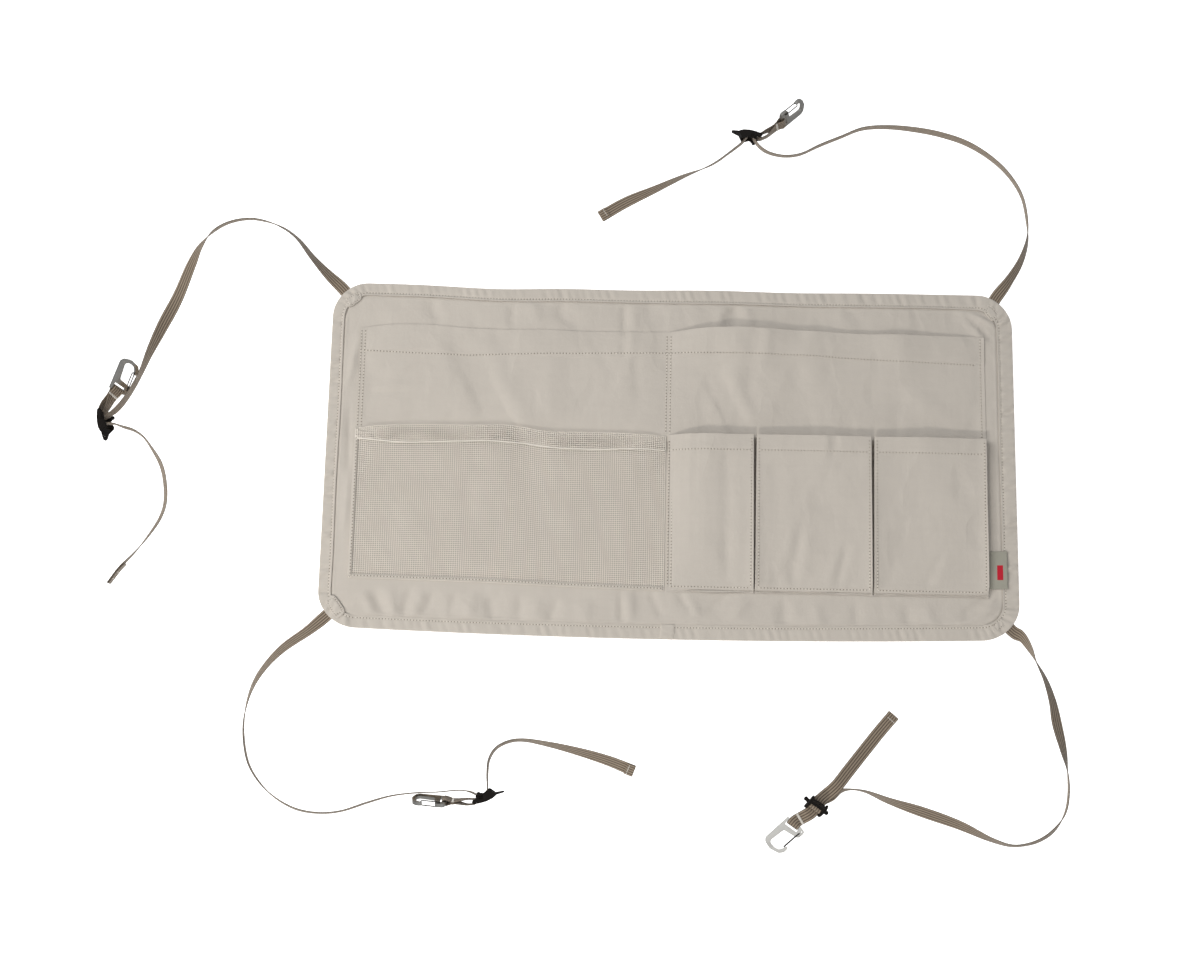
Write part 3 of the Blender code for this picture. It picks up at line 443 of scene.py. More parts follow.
@dataclass(frozen=True)
class RibbedFinish(Finish):
    """Ribbed webbing, drawn along the strap on its own UV map."""

    ribs: float = 5.0
    pick: float = 1.1 * MM
    relief: float = 0.24 * MM

    def dress(self, tree: Tree, shader: bpy.types.Node, effects: Effects) -> None:
        """Ribs and picks from the UV map, with painted light on the rib tops, painted shade between
        the ribs, and a worn tone from the place.
        """
        run = tree.node("UVMap", uv_map="UVMap").outputs["UV"]
        place = tree.place()
        ribs = tree.use(effects.ribs, Vector=run, Ribs=self.ribs, Pick=self.pick)
        tone = tree.use(effects.tone, Vector=place, Cloud=60.0, Slub=700.0).outputs["Tone"]
        clear = tree.mix(tone, self.shade(1.35), self.shade(1.95))
        # Painted light and shade: the rib tops are painted lighter and the valleys between the ribs
        # darker.
        lit = tree.mix(ribs.outputs["Height"], self.shade(0.85), clear)
        tree.put(shader.inputs["Base Color"], tree.mix(ribs.outputs["GapShade"], lit, self.shade(0.28)))
        shader.inputs["Sheen Weight"].default_value = 0.25
        shader.inputs["Sheen Roughness"].default_value = 0.4
        self.bump(tree, shader, ribs.outputs["Height"], self.relief)


@dataclass(frozen=True)
class ThreadFinish(Finish):
    """Twisted thread or knitted yarn."""

    twist: float = 1800.0

    def dress(self, tree: Tree, shader: bpy.types.Node, effects: Effects) -> None:
        """A little tone and twist along the thread."""
        place = tree.place()
        tone = tree.use(effects.tone, Vector=place, Cloud=40.0, Slub=self.twist).outputs["Tone"]
        tree.put(shader.inputs["Base Color"], tree.mix(tone, self.shade(0.84), self.shade(1.14)))
        self.bump(tree, shader, tone, 0.05 * MM)


@dataclass(frozen=True)
class MouldedFinish(Finish):
    """Moulded plastic with a fine matt skin, rubbed smooth in places."""

    def dress(self, tree: Tree, shader: bpy.types.Node, effects: Effects) -> None:
        """Grain in relief, and rubbed patches that shine more."""
        place = tree.place()
        shader.inputs["Specular IOR Level"].default_value = 0.22
        grain = tree.use(effects.grain, Vector=place)
        rub = tree.use(effects.rub, Vector=place, Scale=220.0).outputs["Mask"]
        worn = tree.math("MULTIPLY", rub, 0.5)
        tree.put(shader.inputs["Base Color"], tree.mix(worn, self.shade(1.0), self.shade(1.9)))
        soft = tree.math("SUBTRACT", self.roughness, tree.math("MULTIPLY", rub, 0.12))
        tree.put(shader.inputs["Roughness"], soft)
        self.bump(tree, shader, grain.outputs["Height"], 0.03 * MM)


@dataclass(frozen=True)
class MetalFinish(Finish):
    """Tumbled or drawn metal with fine grain and handling marks."""

    grain: float = 3000.0

    def dress(self, tree: Tree, shader: bpy.types.Node, effects: Effects) -> None:
        """Grain in roughness and relief under a uniform metallic skin."""
        place = tree.place()
        grain = tree.use(effects.grain, Vector=place, Scale=self.grain)
        rub = tree.use(effects.rub, Vector=place, Scale=90.0).outputs["Mask"]
        tone = tree.mix(grain.outputs["Tone"], self.shade(0.92), self.shade(1.06))
        marks = tree.math("MULTIPLY", rub, 0.18)
        tree.put(shader.inputs["Base Color"], tree.mix(marks, tone, self.shade(0.8)))
        shader.inputs["Metallic"].default_value = 1.0
        rough = tree.math("ADD", self.roughness, tree.math("MULTIPLY", rub, 0.08))
        tree.put(shader.inputs["Roughness"], rough)
        self.bump(tree, shader, grain.outputs["Height"], 0.012 * MM)


CANVAS = WovenFinish("canvas_panel", "canvas", (0.565, 0.520, 0.466), 0.92)
BINDING_TAPE = WovenFinish("canvas_binding", "canvas", (0.560, 0.516, 0.462), 0.92,
                           pitch=0.9 * MM)
POCKET_CLOTH = WovenFinish("canvas_pockets", "canvas", (0.565, 0.520, 0.466), 0.92)
NETTING = ThreadFinish("net_yarn", "netting", (0.870, 0.815, 0.740), 0.85)
SEWING = ThreadFinish("sewing_thread", "canvas", (0.740, 0.695, 0.625), 0.80)
# Painted shade: a dark colour for the beads that stand in for the shade inside needle holes.
HOLE_SHADE = ThreadFinish("needle_hole", "canvas", (0.200, 0.170, 0.130), 0.95)
TACK = ThreadFinish("tack_thread", "webbing", (0.720, 0.690, 0.640), 0.75)
WEBBING = RibbedFinish("ribbed_webbing", "webbing", (0.205, 0.163, 0.122), 0.75)
MOULDED = MouldedFinish("moulded_plastic", "moulded_black", (0.006, 0.0046, 0.0036), 0.5)
SATIN = MetalFinish("satin_aluminium", "aluminium", (0.76, 0.735, 0.685), 0.30)
WIRE_STEEL = MetalFinish("spring_wire", "steel_wire", (0.08, 0.070, 0.057), 0.6)
TAB_TAPE = WovenFinish("tab_tape", "woven_tab", (0.36, 0.35, 0.295), 0.85, pitch=0.6 * MM)
TAB_RED = WovenFinish("tab_red", "woven_tab", (0.52, 0.012, 0.030), 0.80, pitch=0.5 * MM)


class Bench:
    """Where finished meshes become pieces of the object."""

    def __init__(self) -> None:
        """Builds the shared effects."""
        self.effects = Effects()

    def piece(self, name: str, bm: bmesh.types.BMesh, finish: Finish,
              stands_for: Sequence[str] = (), sharp: float = 50.0,
              body: str = "organizer") -> bpy.types.Object:
        """Turns a bmesh into a dressed piece that rides on a body.

        Args:
            name: The piece's name.
            bm: Its shape in the frame, which is freed.
            finish: What it is made of.
            stands_for: CAD nodes that it replaces.
            sharp: Angle in degrees past which an edge stays sharp.
            body: The body that it moves with.

        Returns:
            The piece.
        """
        return self.dress(name, mesh_of(name, bm), finish, stands_for, sharp, body)

    def dress(self, name: str, mesh: bpy.types.Mesh, finish: Finish,
              stands_for: Sequence[str] = (), sharp: float = 50.0,
              body: str = "organizer") -> bpy.types.Object:
        """Does the same for a mesh that is made already."""
        mesh.materials.clear()
        mesh.materials.append(finish.material(self.effects))
        mesh.shade_smooth()
        mesh.set_sharp_from_angle(angle=math.radians(sharp))
        made = object_of(name, mesh)
        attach(made, body)
        if stands_for:
            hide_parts(*stands_for)
        LOG.info("%s: %d faces on %s", name, len(mesh.polygons), body)
        return made

    @staticmethod
    def settled(bm: bmesh.types.BMesh, *modifiers: tuple[str, dict]) -> bpy.types.Mesh:
        """Applies modifiers to a shape.

        Args:
            bm: The shape, which is freed.
            *modifiers: Pairs of a modifier's type and its settings.

        Returns:
            The finished mesh.
        """
        work = object_of("work", mesh_of("work", bm))
        for kind, settings in modifiers:
            added = work.modifiers.new(kind.lower(), kind)
            for name, value in settings.items():
                setattr(added, name, value)
        seen = work.evaluated_get(bpy.context.evaluated_depsgraph_get())
        made = bpy.data.meshes.new_from_object(seen)
        bpy.data.objects.remove(work, do_unlink=True)
        return made


def sweep(sections: Sequence[Sequence[Vector]], across: Sequence[float],
          along: Sequence[float], closed: bool = False) -> bmesh.types.BMesh:
    """Draws a ring of points out along its sections.

    Args:
        sections: The ring's corners at each station.
        across: The UV across of each corner.
        along: The UV along of each station.
        closed: Whether the last section joins the first.

    Returns:
        The swept shape, with a UV map, its open ends filled.
    """
    points = np.array([[corner[:] for corner in section] for section in sections])
    runs = np.array(along, dtype=float)
    if closed:
        points = np.concatenate([points, points[:1]])
        runs = np.append(runs, runs[-1] + np.linalg.norm(points[-1, 0] - points[-2, 0]))
    stations, corners = points.shape[:2]
    bm = bmesh.new()
    layer = bm.loops.layers.uv.new("UVMap")
    bmesh.ops.create_grid(bm, x_segments=corners, y_segments=stations - 1, size=0.5)
    seam = []
    marks = {}
    for vert in bm.verts:
        column = round((vert.co.x + 0.5) * corners)
        row = round((vert.co.y + 0.5) * (stations - 1))
        marks[vert.index] = (runs[row], across[column % corners])
        if column in (0, corners) or closed and row in (0, stations - 1):
            seam.append(vert)
        vert.co = points[row, column % corners]
    for face in bm.faces:
        for loop in face.loops:
            loop[layer].uv = marks[loop.vert.index]
    bmesh.ops.remove_doubles(bm, verts=seam, dist=1e-7)
    if not closed:
        bmesh.ops.holes_fill(bm, edges=[e for e in bm.edges if e.is_boundary], sides=0)
    bmesh.ops.recalc_face_normals(bm, faces=bm.faces)
    return bm


def sheet_grid(columns: Sequence[float], rows: Sequence[float],
               place: Callable) -> bmesh.types.BMesh:
    """A grid laid out on given columns and rows, then moved to its place.

    Args:
        columns: The grid's values across.
        rows: Its values up.
        place: Turns arrays of both into arrays of x, y and z.

    Returns:
        The placed grid, its faces up.
    """
    bm = bmesh.new()
    bmesh.ops.create_grid(bm, x_segments=len(columns) - 1, y_segments=len(rows) - 1, size=0.5)
    spots = np.array([v.co[:2] for v in bm.verts]) + 0.5
    u = np.interp(spots[:, 0], np.linspace(0, 1, len(columns)), columns)
    v = np.interp(spots[:, 1], np.linspace(0, 1, len(rows)), rows)
    placed = np.stack(place(u, v), axis=1)
    for vert, spot in zip(bm.verts, placed):
        vert.co = spot
    return bm


def thicken(bm: bmesh.types.BMesh, thickness: float) -> bmesh.types.BMesh:
    """Gives an open sheet its thickness, downwards from the face it was drawn on."""
    bmesh.ops.solidify(bm, geom=bm.faces[:], thickness=thickness)
    bmesh.ops.recalc_face_normals(bm, faces=bm.faces)
    return bm


def spread(low: float, high: float, step: float) -> list[float]:
    """Evenly spaced values from low to high, about a step apart."""
    count = max(1, round((high - low) / step))
    return [low + (high - low) * n / count for n in range(count + 1)]


@dataclass(frozen=True)
class Fold:
    """A soft ridge, or a furrow where its height is negative, in millimetres."""

    x: float
    y: float
    turn: float
    length: float
    width: float
    height: float

    def lift(self, x, y):
        """How far it lifts the cloth at points given in metres."""
        turn = math.radians(self.turn)
        dx, dy = x / MM - self.x, y / MM - self.y
        along = (dx * math.cos(turn) + dy * math.sin(turn)) / (self.length * 0.55)
        off = (dy * math.cos(turn) - dx * math.sin(turn)) / (self.width * 0.5)
        return RELIEF * self.height * MM * np.exp(-along ** 4 - off ** 2)


def lay_folds(*rows: tuple[float, ...]) -> tuple[Fold, ...]:
    """Folds from rows of x, y, turn, length, width and height."""
    return tuple(Fold(*row) for row in rows)


@dataclass(frozen=True)
class Slack:
    """The slackness of one sheet: its folds, and fine ripples that hide no seam."""

    folds: tuple[Fold, ...] = ()
    ripple: float = 0.25 * MM
    wave: float = 60 * MM
    seed: int = 1
    gain: float = 1.0

    def lift(self, x, y):
        """How far the slack lifts the cloth at points given in metres."""
        draw = random.Random(self.seed)
        total = 0.0
        for _ in range(9):
            turn = draw.uniform(0, math.pi)
            length = self.wave * draw.uniform(0.6, 1.8)
            along = x * math.cos(turn) + y * math.sin(turn)
            total = total + np.sin(2 * math.pi * along / length + draw.uniform(0, 6.28))
        lift = self.ripple * total / 3
        for fold in self.folds:
            lift = lift + self.gain * fold.lift(x, y)
        return lift


@dataclass
class Layout:
    """Where the cloth lies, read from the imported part."""

    canvas: float = 0.8 * MM
    cloth: float = 0.7 * MM
    gap: float = 0.25 * MM
    radius: float = 46.0 * MM
    binding_width: float = 18.0 * MM
    corner_rise: float = 8.0 * MM
    dips: tuple[tuple[float, ...], ...] = ((4.0, -218, 75), (1.6, 150, 70), (2.4, -60, 80))

    def __post_init__(self) -> None:
        """Reads the sizes that the frame gives."""
        low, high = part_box("edge_binding")
        self.half_length, self.half_height = high.x, -low.y
        low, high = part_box("upper_pocket")
        self.pocket_left, self.pocket_right = low.x, high.x
        self.upper_foot, self.upper_mouth = low.y, high.y
        low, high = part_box("mesh_pocket")
        self.net_right = high.x
        self.lower_foot, self.lower_mouth = low.y, high.y
        self.panel_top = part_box("panel")[1].z

    def inside(self, x, y):
        """How far a place lies inside the rim, worked out on the unwarped panel."""
        flat = y / (self.warp(x, y)[1] / np.where(y == 0, 1, y) + (y == 0))
        over_x = np.abs(x) - (self.half_length - self.radius)
        over_y = np.abs(flat) - (self.half_height - self.radius)
        side = self.radius - np.maximum(over_x, over_y)
        round_off = self.radius - np.hypot(over_x, over_y)
        return np.where((over_x > 0) & (over_y > 0), round_off, side)

    def tape(self, x):
        """The binding's width, which drifts wider from left to right."""
        return self.binding_width - 0.5 * MM + 2.0 * MM * x / self.half_length

    def warp(self, x, y):
        """The lie of the panel's edge: low corners drawn up, slack dips along the top.

        Args:
            x: Places across the panel.
            y: Places up the panel.

        Returns:
            The moved places.
        """
        share = y / self.half_height
        rise = self.corner_rise * (x / self.half_length) ** 2
        dip = sum(deep * MM * np.exp(-((x - middle * MM) / (reach * MM)) ** 2)
                  for deep, middle, reach in self.dips)
        return x, np.where(y < 0, y - share * rise, y - share * dip)

    def warped(self, x: float, y: float, z: float) -> Vector:
        """A point over the panel, moved with the panel's edge."""
        moved_x, moved_y = self.warp(x, y)
        return Vector((float(moved_x), float(moved_y), z))


PANEL_FOLDS = lay_folds(
    (-300, 186, -60, 34, 16, -1.0), (-200, 184, -90, 30, 10, -0.9),
    (-130, 181, -40, 34, 15, -1.0), (-172, 186, -80, 30, 14, 0.7), (-60, 180, -88, 40, 7, -1.0),
    (-48, 184, -88, 36, 12, 0.7), (76, 186, -100, 26, 12, -1.3), (60, 186, -100, 26, 12, 0.9),
    (95, 184, -80, 24, 12, 0.8), (230, 187, -50, 40, 18, -0.7), (372, 184, -50, 52, 9, 1.4),
    (386, 189, -27, 42, 7, 1.2), (379, 180, -40, 46, 8, -1.2), (-396, 120, 80, 60, 10, 0.8),
    (-397, 20, 92, 70, 9, -0.7), (-396, -60, 88, 60, 10, 0.7), (381, -170, 38, 58, 14, -2.0),
    (372, -184, 30, 50, 12, 1.4), (396, -158, 50, 40, 10, 1.2), (-364, -183, -61, 30, 13, 1.0),
    (-350, -184, -65, 30, 12, -0.9), (-336, -183, -68, 32, 12, 1.1),
    (-317, -182, -100, 30, 10, -1.0), (-303, -183, -105, 30, 12, 0.9),
    (-290, -182, -109, 28, 10, -0.8), (-261, -183, -108, 26, 12, -0.9),
    (-240, -186, -95, 28, 16, 0.9), (-214, -190, -86, 30, 9, -1.0),
    (-180, -189, -96, 30, 12, -1.0), (-160, -190, -98, 28, 14, 0.9),
    (-138, -190, -102, 28, 12, -0.9), (-100, -190, -92, 30, 22, 0.8),
    (-57, -184, -89, 40, 7, -1.2), (-46, -186, -89, 38, 12, 0.9), (-15, -178, -63, 28, 8, -0.9),
    (20, -174, -50, 24, 9, -1.0), (30, -180, -55, 26, 10, 0.9), (61, -175, 46, 26, 10, -0.9),
    (85, -182, 60, 28, 16, 0.8), (140, -186, -95, 30, 16, -0.8), (180, -188, -85, 30, 18, 0.8),
    (228, -188, -88, 30, 12, -0.8), (290, -188, -80, 30, 16, -0.9), (316, -188, -70, 30, 16, 0.8),
)

UPPER_FOLDS = lay_folds(
    (-234, 86, -59, 110, 34, -2.2), (-262, 96, -60, 90, 34, 1.0), (-196, 70, -62, 80, 30, 1.4),
    (-353, 79, 5, 56, 7, -1.0), (-356, 86, 6, 50, 9, 0.8), (-374, 103, 18, 22, 6, -0.6),
    (-376, 48, 12, 26, 7, -0.7), (-60, 146, -88, 40, 9, -0.8), (-50, 150, -88, 40, 12, 0.7),
    (-43, 104, -84, 56, 13, -0.7), (-58, 108, -84, 56, 20, 0.6), (-120, 120, -84, 60, 24, -0.8),
    (-150, 90, -84, 70, 26, 0.8), (50, 117, 15, 34, 8, -1.0), (54, 124, 14, 30, 10, 0.7),
    (68, 74, -63, 76, 20, -1.9), (52, 68, -64, 70, 20, 0.8), (88, 82, -63, 70, 20, 1.2),
    (103, 150, -98, 36, 14, -1.1), (118, 150, -96, 36, 14, 0.8), (180, 100, -70, 90, 34, 0.7),
    (230, 80, 8, 80, 22, -0.7), (330, 70, -35, 70, 24, 0.7), (363, 146, 4, 40, 9, -0.8),
    (300, 118, 4, 90, 14, 0.5),
)

SMALL_FOLDS = lay_folds(
    (18.5, -68, -89, 200, 12.2, -0.91), (8, -90, -88, 130, 16.2, 0.56),
    (70, -67, -89, 200, 16.2, -0.91), (84, -100, -92, 110, 18.9, 0.56),
    (44, -40, -90, 120, 35.1, 0.42), (54, 22, -92, 26, 13.5, -0.49),
)
MIDDLE_FOLDS = lay_folds(
    (200, 22, -100, 24, 12.8, -0.3), (190, 22, -95, 24, 13.5, 0.25),
    (135, -140, 61, 46, 13.5, -0.77), (153, -118, 80, 78, 14.9, -0.91),
    (144, -112, 78, 70, 16.2, 0.63), (166, -120, 80, 60, 17.6, 0.63),
    (209, -130, 76, 54, 12.2, -0.98), (220, -128, 74, 54, 14.9, 0.7),
    (198, -134, 74, 50, 14.9, 0.63), (170, -40, -88, 110, 54, -0.56),
)
END_FOLDS = lay_folds(
    (320, -135, 63, 46, 13.5, -0.63), (330, -132, 62, 46, 16.2, 0.49),
    (290, -60, 84, 100, 45.9, -0.49), (352, -60, 94, 90, 45.9, 0.42),
    (268, -140, 74, 36, 12.2, -0.56), (276, 20, -82, 24, 12.2, -0.42),
)
NET_FOLDS = lay_folds(
    (-162, -32, -77, 110, 30, -1.8), (-190, -40, -78, 110, 26, 1.0),
    (-130, -40, -80, 110, 26, 1.2), (-265, -61, -90, 140, 22, 1.0),
    (-240, -61, -88, 140, 24, -0.9), (-330, -90, -84, 90, 26, -0.8),
    (-60, -60, -89, 140, 26, 0.9), (-84, -64, -90, 130, 22, -0.8),
)

NET_MOUTH = ((-389, 32), (-372, 34.5), (-345, 36.5), (-300, 38), (-250, 38), (-205, 40),
             (-180, 36.5), (-152, 31.4), (-104, 32.3), (-62, 32), (-6, 29.6))
NET_HEM_LINE = ((-389, 20.5), (-350, 16.5), (-322, 15.2), (-284, 17.3), (-225, 19.8),
                (-176, 17), (-145, 12), (-89, 11.4), (-38, 13.6), (-6, 12.3))
UPPER_MOUTH = ((-389, 160.5), (-364, 164.9), (-339, 166.9), (-304, 167.4), (-262, 163.8),
               (-205, 162.5), (-165, 163.9), (-107, 162), (-40, 162.4), (-1, 163.5),
               (34, 168.1), (73, 169.3), (110, 168.4), (160, 167.1), (196, 165.5),
               (246, 164.4), (389, 164.3))
UPPER_HEM_STITCH = ((-386, 132.7), (-320, 130.5), (-253, 129), (-164, 132.9), (-40, 135.6),
                    (21, 137.2), (160, 135.9), (288, 130.8), (377, 128.9))
PATCHES = {
    Corner.TOP_LEFT: (((-415.5, 196.0), (-391.5, 211.5)), ((-404.4, 185.0), (-387.0, 199.5)), 1.9),
    Corner.TOP_RIGHT: (((396.5, 212.0), (412.0, 193.0)), ((388.5, 199.0), (400.0, 184.0)), 1.3),
    Corner.BOTTOM_LEFT: (((-418.5, -179.5), (-400.5, -206.5)), ((-405.5, -171.5), (-387.0, -196.0)),
                         2.3),
    Corner.BOTTOM_RIGHT: (((411.0, -191.0), (394.5, -207.0)), ((401.0, -184.0), (388.5, -196.5)),
                          1.1),
}
UPPER_LIP = ((-389, 0.0), (-340, 0.0), (-270, 0.1), (-205, 0.0), (-110, 0.1), (-4, 0.0),
             (20, 3.0), (50, 8.5), (88, 12.5), (120, 9.5), (150, 6.5), (178, 8.5), (212, 4.0),
             (250, 4.0), (285, 7.5), (322, 3.5), (370, 1.5), (389, 0.6))


class ClothStack:
    """The heights of the sewn layers, each lying on the one below."""

    loft: float = 1.3 * MM

    def __init__(self, layout: Layout) -> None:
        """Takes the layout and sets each layer's slack."""
        self.at = layout
        self.panel_slack = Slack(PANEL_FOLDS, 0.45 * MM, 60 * MM, 3, 1.5)
        self.upper_slack = Slack(UPPER_FOLDS, 0.45 * MM, 80 * MM, 5)
        self.net_slack = Slack(NET_FOLDS, 0.30 * MM, 80 * MM, 8)

    def panel(self, x, y):
        """Height of the canvas panel's upper face."""
        at = self.at
        inside = at.inside(x, y)
        edge = at.tape(x)
        free = smoothstep(edge - 3 * MM, edge + 7 * MM, inside)
        lift = self.panel_slack.lift(x, y) + self.loft
        lift = lift * free * (1 - 0.8 * self._covered(x, y))
        ridge = 0.85 * MM * np.exp(-((inside - edge - 2.4 * MM) / (1.8 * MM)) ** 2)
        near = np.exp(-((inside - edge - 6 * MM) / (9 * MM)) ** 2)
        sides = np.abs(x) > at.half_length - 40 * MM
        run = np.where(sides, y + 0.5 * x, x + 0.35 * y)
        gather = np.sin(run / (4.4 * MM) + 1.7 * np.sin(run / (19 * MM)))
        gather = 0.28 * MM * gather * (0.6 + 0.4 * np.sin(run / (47 * MM))) * near
        return at.panel_top + np.maximum(lift + ridge + gather, -0.7 * MM)

    def _covered(self, x, y):
        """How far a place lies under the pockets, from 0 to 1."""
        at = self.at
        across = smoothstep(at.pocket_left - 6 * MM, at.pocket_left + 14 * MM, x)
        across = across * (1 - smoothstep(at.pocket_right - 14 * MM, at.pocket_right + 6 * MM, x))
        up = smoothstep(at.lower_foot - 6 * MM, at.lower_foot + 12 * MM, y)
        return across * up * (1 - smoothstep(120 * MM, 150 * MM, y))

    def upper(self, x, y):
        """Height of the upper pocket's face."""
        at = self.at
        seams = (at.pocket_left + 4 * MM, -4.0 * MM, at.pocket_right - 4 * MM)
        off = np.minimum.reduce([np.abs(x - s) for s in seams])
        free = smoothstep(0, 30 * MM, off) ** 0.7
        mouth = eased(UPPER_MOUTH, 10, x)
        up = smoothstep(at.upper_foot + 20 * MM, mouth, y)
        lip = eased(UPPER_LIP, 8, x) * up ** 1.6
        hem = 0.55 * MM * smoothstep(mouth - 33.5 * MM, mouth - 32 * MM, y)
        slack = self.upper_slack.lift(x, y) * free * smoothstep(0, 20 * MM, mouth - y + 12 * MM)
        body = 0.9 * MM * free * smoothstep(at.upper_foot, at.upper_foot + 60 * MM, y)
        body = body * (1 - smoothstep(mouth - 50 * MM, mouth, y) * (x < 0))
        rise = np.maximum(body + slack, 0.0) + lip * smoothstep(0, 12 * MM, off)
        return self.panel(x, y) + at.gap + at.cloth + rise + hem

    def base(self, x, y):
        """What a lower pocket is sewn down on: the upper pocket's foot, then the panel."""
        at = self.at
        step = smoothstep(at.upper_foot - 30 * MM, at.upper_foot - 14 * MM, y)
        floor = np.where(y > at.upper_foot, self.upper(x, y), self.panel(x, y))
        return floor + (at.gap + at.cloth) * np.where(y > at.upper_foot, 0.0, step)

    def net(self, x, y):
        """Height of the net's face."""
        at = self.at
        left, right = at.pocket_left, at.net_right
        off = np.minimum(x - left, right - x)
        free = smoothstep(0, 22 * MM, off)
        up = smoothstep(at.lower_foot, at.lower_foot + 26 * MM, y)
        mouth = 0.8 * MM + 3.0 * MM * smoothstep(-40 * MM, at.lower_mouth, y)
        slack = self.net_slack.lift(x, y) * free * up
        return self.base(x, y) + 0.9 * MM + np.maximum(mouth * free * up + slack, 0.0)


class Seam:
    """Rows of stitches that lie on one cloth, with dark beads of painted shade for the needle holes
    between them.
    """

    proud: float = 0.16 * MM
    hole_shade_width: float = 0.95 * MM
    hole_shade_depth: float = 0.40 * MM

    def __init__(self, pitch: float = 4.0 * MM, radius: float = 0.50 * MM,
                 share: float = 0.66) -> None:
        """Sets the stitches.

        Args:
            pitch: Distance from stitch to stitch.
            radius: Half the thread's thickness.
            share: How much of the pitch each stitch covers.
        """
        self.pitch, self.radius, self.share = pitch, radius, share
        self.thread = bmesh.new()
        self.holes = bmesh.new()

    @staticmethod
    def _bead(bm: bmesh.types.BMesh, start: Vector, end: Vector, wide: float, tall: float) -> None:
        """Adds a drawn-out bead between two points."""
        way = end - start
        turn = way.to_track_quat("X", "Z").to_matrix().to_4x4()
        size = Matrix.Diagonal((way.length / 2, wide, tall, 1))
        place = Matrix.Translation((start + end) / 2) @ turn @ size
        bmesh.ops.create_icosphere(bm, subdivisions=1, radius=1.0, matrix=place)

    def stitch(self, start: Vector, end: Vector) -> None:
        """Adds one stitch between two holes."""
        self._bead(self.thread, start, end, self.radius, self.radius * 0.8)

    def row(self, line: Sequence[Vector], holes: bool = True) -> None:
        """Adds a row of stitches along a line.

        Args:
            line: Points of the row, on the cloth.
            holes: Whether dark beads of painted shade mark the needle holes between the stitches.
        """
        points = np.array([p[:] for p in line])
        steps = np.linalg.norm(np.diff(points, axis=0), axis=1)
        run = np.concatenate([[0], np.cumsum(steps)])
        for n in range(int(run[-1] / self.pitch)):
            marks = [(n + k) * self.pitch for k in (0, self.share, 1)]
            a, b, c = (Vector([np.interp(m, run, points[:, k]) for k in range(3)]) for m in marks)
            self.stitch(a, b)
            # Painted shade: a dark bead between stitches stands for the shade in the needle hole.
            if holes:
                self._bead(self.holes, b.lerp(c, 0.1), c.lerp(b, 0.1), self.hole_shade_width,
                           self.hole_shade_depth)

    def on(self, surface: Callable, line: Sequence[tuple[float, float]]) -> None:
        """Adds a row along a line of corners laid on a surface.

        Args:
            surface: Gives the height at x and y.
            line: The corners, in metres.
        """
        made = []
        for a, b in zip(line, line[1:]):
            count = max(1, int(math.dist(a, b) / (3 * MM)))
            for n in range(count + (b == line[-1])):
                x = a[0] + (b[0] - a[0]) * n / count
                y = a[1] + (b[1] - a[1]) * n / count
                made.append(Vector((x, y, height_at(surface, x, y) + self.proud)))
        self.row(made)

    def finish(self, bench: Bench, name: str, finish: Finish = SEWING,
               body: str = "organizer") -> None:
        """Turns the rows into pieces.

        Args:
            bench: Where pieces are finished.
            name: The name of what they sew.
            finish: The thread.
            body: The body that they move with.
        """
        if self.holes.verts:
            bench.piece(f"{name}_needle_holes", self.holes, HOLE_SHADE, body=body)
        bench.piece(f"{name}_stitches", self.thread, finish, body=body)


@dataclass
class CanvasPanel:
    """The canvas sheet that everything is sewn to."""

    bench: Bench
    stack: ClothStack
    step: float = 3.6 * MM

    def build(self) -> None:
        """Makes the sheet with its slack, out to the inside of its binding."""
        at = self.stack.at
        inset = 1.2 * MM
        half_x, half_y = at.half_length - inset, at.half_height - inset
        radius = at.radius - inset

        def place(u, v):
            share = np.maximum(np.maximum(np.abs(u), np.abs(v)), 1e-6)
            x, y = u / share * half_x, v / share * half_y
            over_x = np.abs(x) - (half_x - radius)
            over_y = np.abs(y) - (half_y - radius)
            corner = (over_x > 0) & (over_y > 0)
            reach = np.maximum(np.hypot(over_x, over_y), 1e-9)
            x = np.where(corner, np.sign(x) * (half_x - radius + over_x * radius / reach), x)
            y = np.where(corner, np.sign(y) * (half_y - radius + over_y * radius / reach), y)
            x, y = at.warp(x * share, y * share)
            return x, y, self.stack.panel(x, y)

        columns, rows = (self._marks(half) for half in (half_x, half_y))
        bm = thicken(sheet_grid(columns, rows, place), at.canvas)
        sheet = self.bench.piece("panel_canvas", bm, CANVAS, ["panel"])

    def _marks(self, half: float) -> list[float]:
        """Grid marks from -1 to 1, closer together beside the rim."""
        rim = 1 - 30 * MM / half
        outer = spread(rim, 1.0, 1.3 * MM / half)
        middle = spread(-rim, rim, self.step / half)
        return [-m for m in reversed(outer)] + middle[1:-1] + outer


